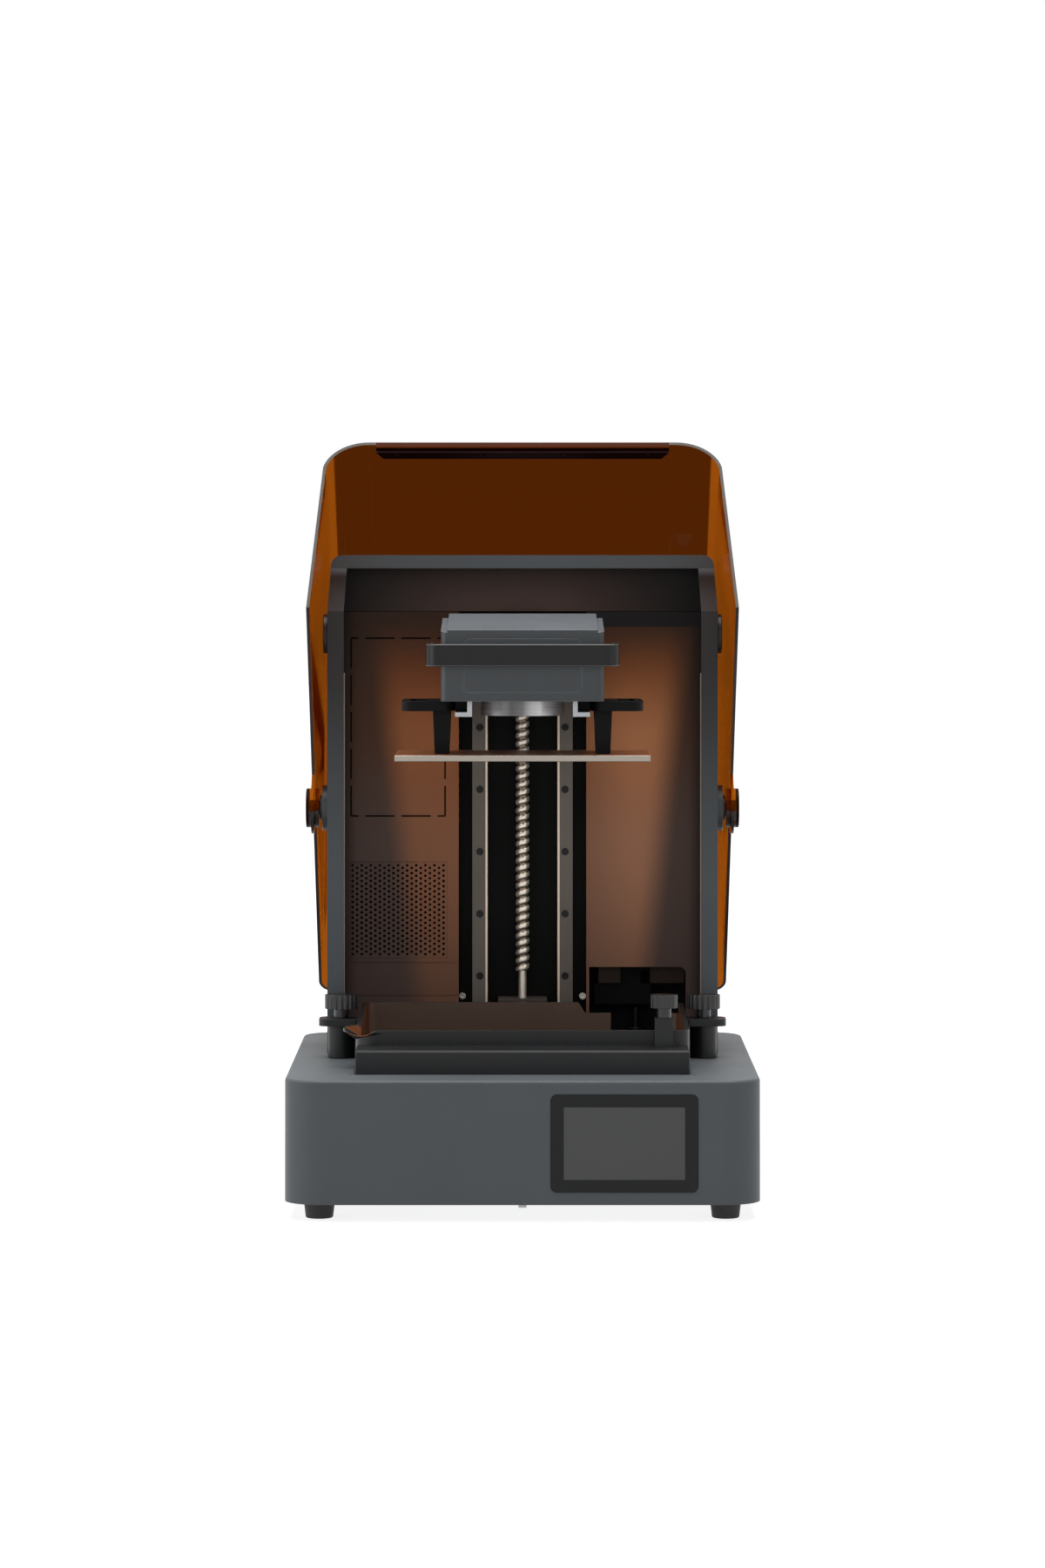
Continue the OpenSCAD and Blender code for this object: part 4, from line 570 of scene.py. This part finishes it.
# ---------------------------------------------------------------- nodes with one look
# look, width of the soft edges and their segments; a node without a width keeps its CAD mesh
DRESS = {
    "base_shell": ("casing", 0.0010, 3),
    "base_floor": ("alu",),
    "case_screws": ("steel",),
    "feet": ("rubber", 0.0012, 3),
    "screen_display": ("display",),
    "lcd_panel": ("lcd",),
    "lcd_frame": ("steel",),
    "light_box": ("black",),
    "led_array": ("led",),
    "heat_sink": ("alu",),
    "mainboard": ("pcb",),
    "power_supply": ("alu",),
    "mains_inlet": ("black", 0.0004),
    "power_rocker": ("red", 0.0003),
    "chamber_shell": ("chamber", 0.0012, 3),
    "side_buffers": ("black", 0.0006),
    "upper_panel": ("panel",),
    # the fan, the filter and the recess box take the black which also paints the shade in holes and slots
    "fan_frame": ("void",),
    "fan_rotor": ("void",),
    "filter_cartridge": ("void",),
    "recess_box": ("void",),
    "feed_pin": ("dark_steel", 0.0003),
    "z_column": ("black_metal",),
    "rail_screws": ("dark_steel",),
    "screw_blocks": ("block", 0.0005),
    "screw_coupler": ("alu", 0.0004),
    "z_motor": ("black_metal",),
    "carriage_blocks": ("rail", 0.0005),
    "carriage_plate": ("alu", 0.0005),
    "ball_nut": ("steel", 0.0004),
    "nut_bolts": ("dark_steel",),
    "head_arm": ("alu", 0.0006),
    "clamp_disc": ("disc", 0.0004),
    "platform_guides": ("alu", 0.0003),
    "lever_shaft": ("steel", 0.0004),
    "platform_handles": ("handle", 0.0009, 3),
    "vat_film": ("film",),
    "film_frame": ("alu",),
    "film_frame_screws": ("steel",),
    "vat_posts": ("vat", 0.0006),
    "thumb_screw_left": ("knob", 0.0004),
    "thumb_screw_right": ("knob", 0.0004),
    "thumb_screw_front": ("knob", 0.0004),
    "thumb_stud_left": ("steel",),
    "thumb_stud_right": ("steel",),
    "lid_hinge_caps": ("grip", 0.0006),
    "hinge_hubs": ("hub", 0.0005),
}
for _node, _look in DRESS.items():
    dress(_node, *_look)

# ---------------------------------------------------------------- rails with a ground strip and a painted warm highlight on it
STRIP_END = 0.0298         # the strip runs from a rail's inner edge to this distance from the middle
STRIP_FACING = 0.9
RAIL_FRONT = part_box("linear_rails")[0].y


def rail_face(c, n):
    ground = n.y < -STRIP_FACING and abs(c.x) < STRIP_END and c.y < RAIL_FRONT + ON_FACE
    return "rail_edge" if ground else "rail"


split_dress("linear_rails", ["rail", "rail_edge"], rail_face, [(X, (-STRIP_END, STRIP_END))])

# ---------------------------------------------------------------- bracket of the resin feed
# two painted tabs in front of black blocks
BRACKET_LOW, BRACKET_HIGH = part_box("feed_bracket")
TAB_LOW = BRACKET_HIGH.z - 0.0135
TAB_BACK = BRACKET_LOW.y + 0.003
TAB_GAP = (0.0788, 0.1028)      # black part between the tabs
TAB_SLACK = 0.0001


def bracket_face(c, n):
    painted = c.y < TAB_BACK + TAB_SLACK and c.z > TAB_LOW - TAB_SLACK and abs(n.y) > FACING
    return "tab" if painted and not TAB_GAP[0] < c.x < TAB_GAP[1] else "void"


split_dress("feed_bracket", ["tab", "void"], bracket_face, [(Y, (TAB_BACK,)), (Z, (TAB_LOW,)), (X, TAB_GAP)])


# ---------------------------------------------------------------- panels, with painted shade inside their holes and slots
def back_panel_face(c, n):
    return "void" if abs(n.y) < FACING and c.x < 0 else "panel"


def grille_face(c, n):
    return "panel" if n.y < -FACING else "void"


# the rear cover's front, behind the grille's slots, takes painted shade
def rear_cover_face(c, n):
    return "void" if n.y < -FACING else "rear"


split_dress("back_panel", ["panel", "void"], back_panel_face)
split_dress("vent_grille", ["panel", "void"], grille_face)
split_dress("rear_cover", ["rear", "void"], rear_cover_face, (), 0.0003)

# ---------------------------------------------------------------- cover glass, with the display behind it
DISPLAY_LOW, DISPLAY_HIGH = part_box("screen_display")
GLASS_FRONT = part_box("screen_glass")[0].y


def glass_face(c, n):
    inside = DISPLAY_LOW.x < c.x < DISPLAY_HIGH.x and DISPLAY_LOW.z < c.z < DISPLAY_HIGH.z
    return "display" if inside and n.y < -FACING and c.y < GLASS_FRONT + ON_FACE else "bezel"


split_dress("screen_glass", ["bezel", "display"], glass_face,
            [(X, (DISPLAY_LOW.x, DISPLAY_HIGH.x)), (Z, (DISPLAY_LOW.z, DISPLAY_HIGH.z))], 0.0004, 2, 60)


# ---------------------------------------------------------------- head, lever, platform and grip
# the head's upward faces take a lighter copy of its paint: painted light from above
def head_face(c, n):
    return "head_top" if n.z > FACING else "head"


def plate_face(c, n):
    """Painted warm light of the lid on the platform's upper face."""
    return "plate_painted_light" if n.z > FACING else "plate"


# the soft edges of the head and the lever are lighter than their faces: painted highlights
split_dress("head_cover", ["head", "head_top", "head_edge"], head_face, (), 0.0022, 4, 30, "head_edge")
split_dress("clamp_lever", ["lever", "lever_edge"], lambda c, n: "lever", (), 0.0009, 3, 30, "lever_edge")
split_dress("build_plate", ["plate", "plate_painted_light"], plate_face, (), 0.0004)
split_dress("lid_grip", ["grip"], lambda c, n: "grip", (), 0.0003)

# ---------------------------------------------------------------- vat
VAT_LOW, VAT_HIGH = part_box("vat_tray")
BLOCK_FRONT = [v.co for v in NODES["vat_tray"].data.vertices if v.co.y < VAT_LOW.y + ON_FACE]
BLOCK_TOP = max(v.z for v in BLOCK_FRONT)
BLOCK_HALF = max(abs(v.x) for v in BLOCK_FRONT)
BLOCK_BACK = VAT_LOW.y + 0.001
# painted highlight along the front block's upper and side edges
VAT_HIGHLIGHT_BAND = 0.0016              # light band along the front block's upper and side edges
WALL_FACING, LEANING = 0.6, 0.3      # the spout and the right wall lean
REAR_WALL = VAT_HIGH.y - 0.008
REAR_WALL_LOW = VAT_LOW.z + 0.006
# painted warm light on the side walls above this height
WARM_LIGHT_LOW = VAT_LOW.z + 0.012    # the side walls are warm above this height
SPOUT_X, SPOUT_OUT_X = -0.108, -0.112
SPOUT_TOP = VAT_LOW.z + 0.0295
RIGHT_WALL_X, RIGHT_WALL_FRONT = 0.110, -0.10


def vat_face(c, n):
    """Painted highlights along the front edges, and painted warm light on the rear wall, in the spout and on
    the right wall.
    """
    if c.y < BLOCK_BACK and (c.z > BLOCK_TOP - VAT_HIGHLIGHT_BAND or abs(c.x) > BLOCK_HALF - VAT_HIGHLIGHT_BAND):
        return "vat_edge"
    if n.y < -WALL_FACING and c.y > REAR_WALL and c.z > REAR_WALL_LOW:
        return "vat_painted_warm"
    if c.z > WARM_LIGHT_LOW:
        if c.x < SPOUT_X and n.x > LEANING:
            return "vat_spout"
        if c.x < SPOUT_OUT_X and n.z > LEANING and c.z < SPOUT_TOP:
            return "vat_spout"
        if c.x > RIGHT_WALL_X and n.x < -LEANING and c.y > RIGHT_WALL_FRONT:
            return "vat_spout"
    return "vat"


split_dress("vat_tray", ["vat", "vat_painted_warm", "vat_spout", "vat_edge"], vat_face,
            [(Z, (BLOCK_TOP - VAT_HIGHLIGHT_BAND,)), (X, (BLOCK_HALF - VAT_HIGHLIGHT_BAND, VAT_HIGHLIGHT_BAND - BLOCK_HALF))],
            0.0006, 2, 30, "vat_edge")

# ---------------------------------------------------------------- ball screw
SCREW_LOW, SCREW_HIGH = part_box("ball_screw")
SCREW_AXIS = ((SCREW_LOW.x + SCREW_HIGH.x) / 2, (SCREW_LOW.y + SCREW_HIGH.y) / 2)
SCREW_R = (SCREW_HIGH.x - SCREW_LOW.x) / 2
JOURNAL_R = 0.0032
LEAD = 0.0067
GROOVE = 0.0011            # depth
GROOVE_SHARE = 0.62        # of a turn
GROOVE_ROUND = 0.8         # power of the sine across the groove; below 1 its bottom is wider
ROOT_DEPTH = 0.6           # share of the groove's depth from which its root shows
THREAD_LOW, THREAD_HIGH = 0.1625, 0.4295
THREAD_STEP = 0.00001      # height of the step between journal and thread
SCREW_SIDES, RINGS_PER_TURN = 40, 12


def thread_radius(z, turn):
    """Radius at a height and at a share of a turn: a round-bottomed groove that winds upwards."""
    if z < THREAD_LOW or z > THREAD_HIGH:
        return JOURNAL_R
    phase = (z / LEAD - turn) % 1.0
    return SCREW_R - GROOVE * math.sin(math.pi * min(1.0, phase / GROOVE_SHARE)) ** GROOVE_ROUND


def screw_heights():
    """Two rings for the lower journal, those of the thread, and two for the upper journal."""
    step_z = LEAD / RINGS_PER_TURN
    count = int((THREAD_HIGH - THREAD_LOW) / step_z)
    heights = [SCREW_LOW.z, THREAD_LOW - THREAD_STEP]
    heights += [THREAD_LOW + i * step_z for i in range(count + 1)]
    heights += [heights[-1] + THREAD_STEP, SCREW_HIGH.z]
    return heights


def screw_ring(bm, z, journal):
    ring = []
    for k in range(SCREW_SIDES):
        a = 2 * math.pi * k / SCREW_SIDES
        r = JOURNAL_R if journal else thread_radius(z, k / SCREW_SIDES)
        ring.append(bm.verts.new((SCREW_AXIS[0] + r * math.cos(a), SCREW_AXIS[1] + r * math.sin(a), z)))
    return ring


def make_ball_screw():
    heights = screw_heights()
    last = len(heights) - 1
    bm = bmesh.new()
    rings = [screw_ring(bm, z, i < 2 or i > last - 2) for i, z in enumerate(heights)]
    for i, (low, high) in enumerate(zip(rings, rings[1:])):
        mid = (heights[i] + heights[i + 1]) / 2
        for k in range(SCREW_SIDES):
            n = (k + 1) % SCREW_SIDES
            face = bm.faces.new((low[k], low[n], high[n], high[k]))
            # faces deep in the groove take the darker root steel: painted shade
            root = thread_radius(mid, (k + 0.5) / SCREW_SIDES) < SCREW_R - ROOT_DEPTH * GROOVE
            face.material_index = 1 if root and 1 < i < last - 2 else 0
    bm.faces.new(rings[0][::-1])
    bm.faces.new(rings[-1])
    bmesh.ops.recalc_face_normals(bm, faces=bm.faces)
    obj = new_object("threaded_screw", bm, ["bright", "thread_root"], body_name("ball_screw"))
    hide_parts("ball_screw")


make_ball_screw()

# ---------------------------------------------------------------- painted highlights along the chamber's front opening
OPEN_HALF = 0.1402
# thin light strips that stand for the highlight on the opening's edges: painted highlight
GLINT_W, GLINT_D, GLINT_TOP = 0.0010, 0.0016, 0.404
GLINT_SINK = 0.0001         # how far a strip goes into the chamber's wall
GLINT_BACK = 0.0006         # its distance from the chamber's front edge
GLINT_GAP = 0.0005          # at each end
GLINT_SOFT = 0.0003


# light strips down both sides of the opening: painted highlights
def make_glint_strips():
    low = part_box("chamber_shell")[0]
    size = (GLINT_W, GLINT_D, GLINT_TOP - low.z - 2 * GLINT_GAP)
    for side, word in ((-1, "left"), (1, "right")):
        mid = (side * (OPEN_HALF - GLINT_W / 2 + GLINT_SINK),
               low.y + GLINT_BACK + GLINT_D / 2,
               low.z + GLINT_GAP + size[2] / 2)
        bm = bmesh.new()
        bmesh.ops.create_cube(bm, size=1.0)
        for v in bm.verts:
            v.co = [c * s + m for c, s, m in zip(v.co, size, mid)]
        obj = new_object("glint_strip_" + word, bm, ["opening_glint"], "base")
        add_bevel(obj, GLINT_SOFT)


make_glint_strips()

# ---------------------------------------------------------------- lid
# places in the lid's own frame, in which it is closed and its hinge is the origin
LID_PIVOT = Vector((0, 0.060, 0.2955))
LID_OPEN = math.radians(136)
LID_TURN = Matrix.Rotation(LID_OPEN, 4, "X")
LID_LOW = -0.1895
LID_LOOKS = ["lid_front", "lid_side", "lid_edge", "lid_edge_dark", "lid_rim"]
DARK_HALF = 0.1505         # half width of the darker front of the lid
GRIP_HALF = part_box("lid_grip")[1].x
RIM_BAND, RIM_FACING = 0.002, 0.9
REAR_EDGE_Y, REAR_EDGE_X, REAR_FACING = -0.04, 0.15, 0.8


def lid_face(c, n):
    """The rim is brown along the grip and grey beside it, and the sides' rear edges are dark."""
    if n.z < -RIM_FACING and c.z < LID_LOW + RIM_BAND:
        return "lid_rim" if abs(c.x) < GRIP_HALF else "lid_edge"
    if n.y > REAR_FACING and c.y > REAR_EDGE_Y and abs(c.x) > REAR_EDGE_X:
        return "lid_edge_dark"
    return "lid_front" if abs(c.x) < DARK_HALF else "lid_side"


def make_lid():
    bm = node_mesh("lid_shell")
    cut_across(bm, X, (-DARK_HALF, -GRIP_HALF, GRIP_HALF, DARK_HALF))
    turn = LID_TURN.to_3x3()
    for f in bm.faces:
        look = lid_face(LID_TURN @ (f.calc_center_median() - LID_PIVOT), turn @ f.normal)
        f.material_index = LID_LOOKS.index(look)
    obj = new_object("lid_hood", bm, LID_LOOKS, "lid")
    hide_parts("lid_shell")


make_lid()

# ---------------------------------------------------------------- studio
# name, place, what it looks at, width and height, power
LAMPS = (
    ("top_light", (0, -0.1, 2.6), (0, 0, 0.2), (2.6, 1.8), 84),
    ("left_light", (-2.8, -0.9, 1.2), (0, 0, 0.25), (1.4, 2.0), 26),
    ("right_light", (2.5, -1.4, 1.3), (0, 0, 0.25), (1.4, 2.0), 8),
    ("front_light", (0, -3.6, 1.3), (0, 0, 0.25), (2.4, 1.2), 6),
)
FLOOR_HALF = 14.0
FLOOR_GREYS = 0.40, 0.42
FLOOR_OWN = (0.30, 1.1, 0.81, 1.0)    # distances between which the floor's own white grows, and that white
WORLD_LIGHT, WORLD_SHOWN = 0.20, 1.0


def make_lamp(name, place, aim, size, power):
    data = bpy.data.lights.new(name, "AREA")
    data.shape = "RECTANGLE"
    data.size, data.size_y = size
    data.energy = power
    obj = bpy.data.objects.new(name, data)
    obj.location = place
    obj.rotation_euler = (Vector(aim) - Vector(place)).to_track_quat("-Z", "Y").to_euler()
    bpy.context.scene.collection.objects.link(obj)


def seen_ray(nt):
    """1 for the rays that show the background: from the camera, mirrored, or through glass."""
    path = nt.nodes.new("ShaderNodeLightPath")
    mirrored = math_node(nt, "MAXIMUM", path.outputs["Is Glossy Ray"], path.outputs["Is Transmission Ray"])
    return math_node(nt, "MAXIMUM", path.outputs["Is Camera Ray"], mirrored)


def join_shaders(nt, kind, *sockets):
    n = nt.nodes.new(kind)
    for socket, value in zip(n.inputs, sockets):
        nt.links.new(value, socket)
    return n.outputs[0]


def emission(nt, strength):
    n = nt.nodes.new("ShaderNodeEmission")
    feed(nt, n.inputs["Strength"], strength)
    return n.outputs[0]


def white_background(nt, strength):
    n = nt.nodes.new("ShaderNodeBackground")
    n.inputs[0].default_value = (1, 1, 1, 1)
    n.inputs[1].default_value = strength
    return n.outputs[0]


def floor_material():
    """Its own white for the rays that are seen, less of it near the printer, where shadows then show."""
    m, nt, bsdf = new_material("floor_white")
    slow = noise(nt, coords(nt), 3, 2)
    nt.links.new(two_tones(nt, slow, *(grey(value) for value in FLOOR_GREYS)), bsdf.inputs["Base Color"])
    bsdf.inputs["Roughness"].default_value = 0.9
    bsdf.inputs["Specular IOR Level"].default_value = 0.1
    x, y, _ = components(nt, "Object")
    reach = math_node(nt, "SQRT", math_node(nt, "ADD", times(nt, x, x), times(nt, y, y)))
    own = emission(nt, eased(nt, reach, *FLOOR_OWN))
    pick = join_shaders(nt, "ShaderNodeMixShader", seen_ray(nt), emission(nt, 0.0), own)
    out = next(n for n in nt.nodes if n.type == "OUTPUT_MATERIAL")
    nt.links.new(join_shaders(nt, "ShaderNodeAddShader", bsdf.outputs[0], pick), out.inputs[0])
    return m


def make_floor():
    s = FLOOR_HALF
    me = bpy.data.meshes.new("floor")
    me.from_pydata([(-s, -s, 0), (s, -s, 0), (s, s, 0), (-s, s, 0)], [], [(0, 1, 2, 3)])
    me.materials.append(floor_material())
    floor = bpy.data.objects.new("floor", me)
    bpy.context.scene.collection.objects.link(floor)


def make_world():
    """A soft light from all around, shown as pure white."""
    world = bpy.data.worlds.new("studio")
    bpy.context.scene.world = world
    world.use_nodes = True
    nt = world.node_tree
    nt.nodes.clear()
    out = nt.nodes.new("ShaderNodeOutputWorld")
    lit, shown = white_background(nt, WORLD_LIGHT), white_background(nt, WORLD_SHOWN)
    nt.links.new(join_shaders(nt, "ShaderNodeMixShader", seen_ray(nt), lit, shown), out.inputs[0])


for _lamp in LAMPS:
    make_lamp(*_lamp)
make_floor()
make_world()
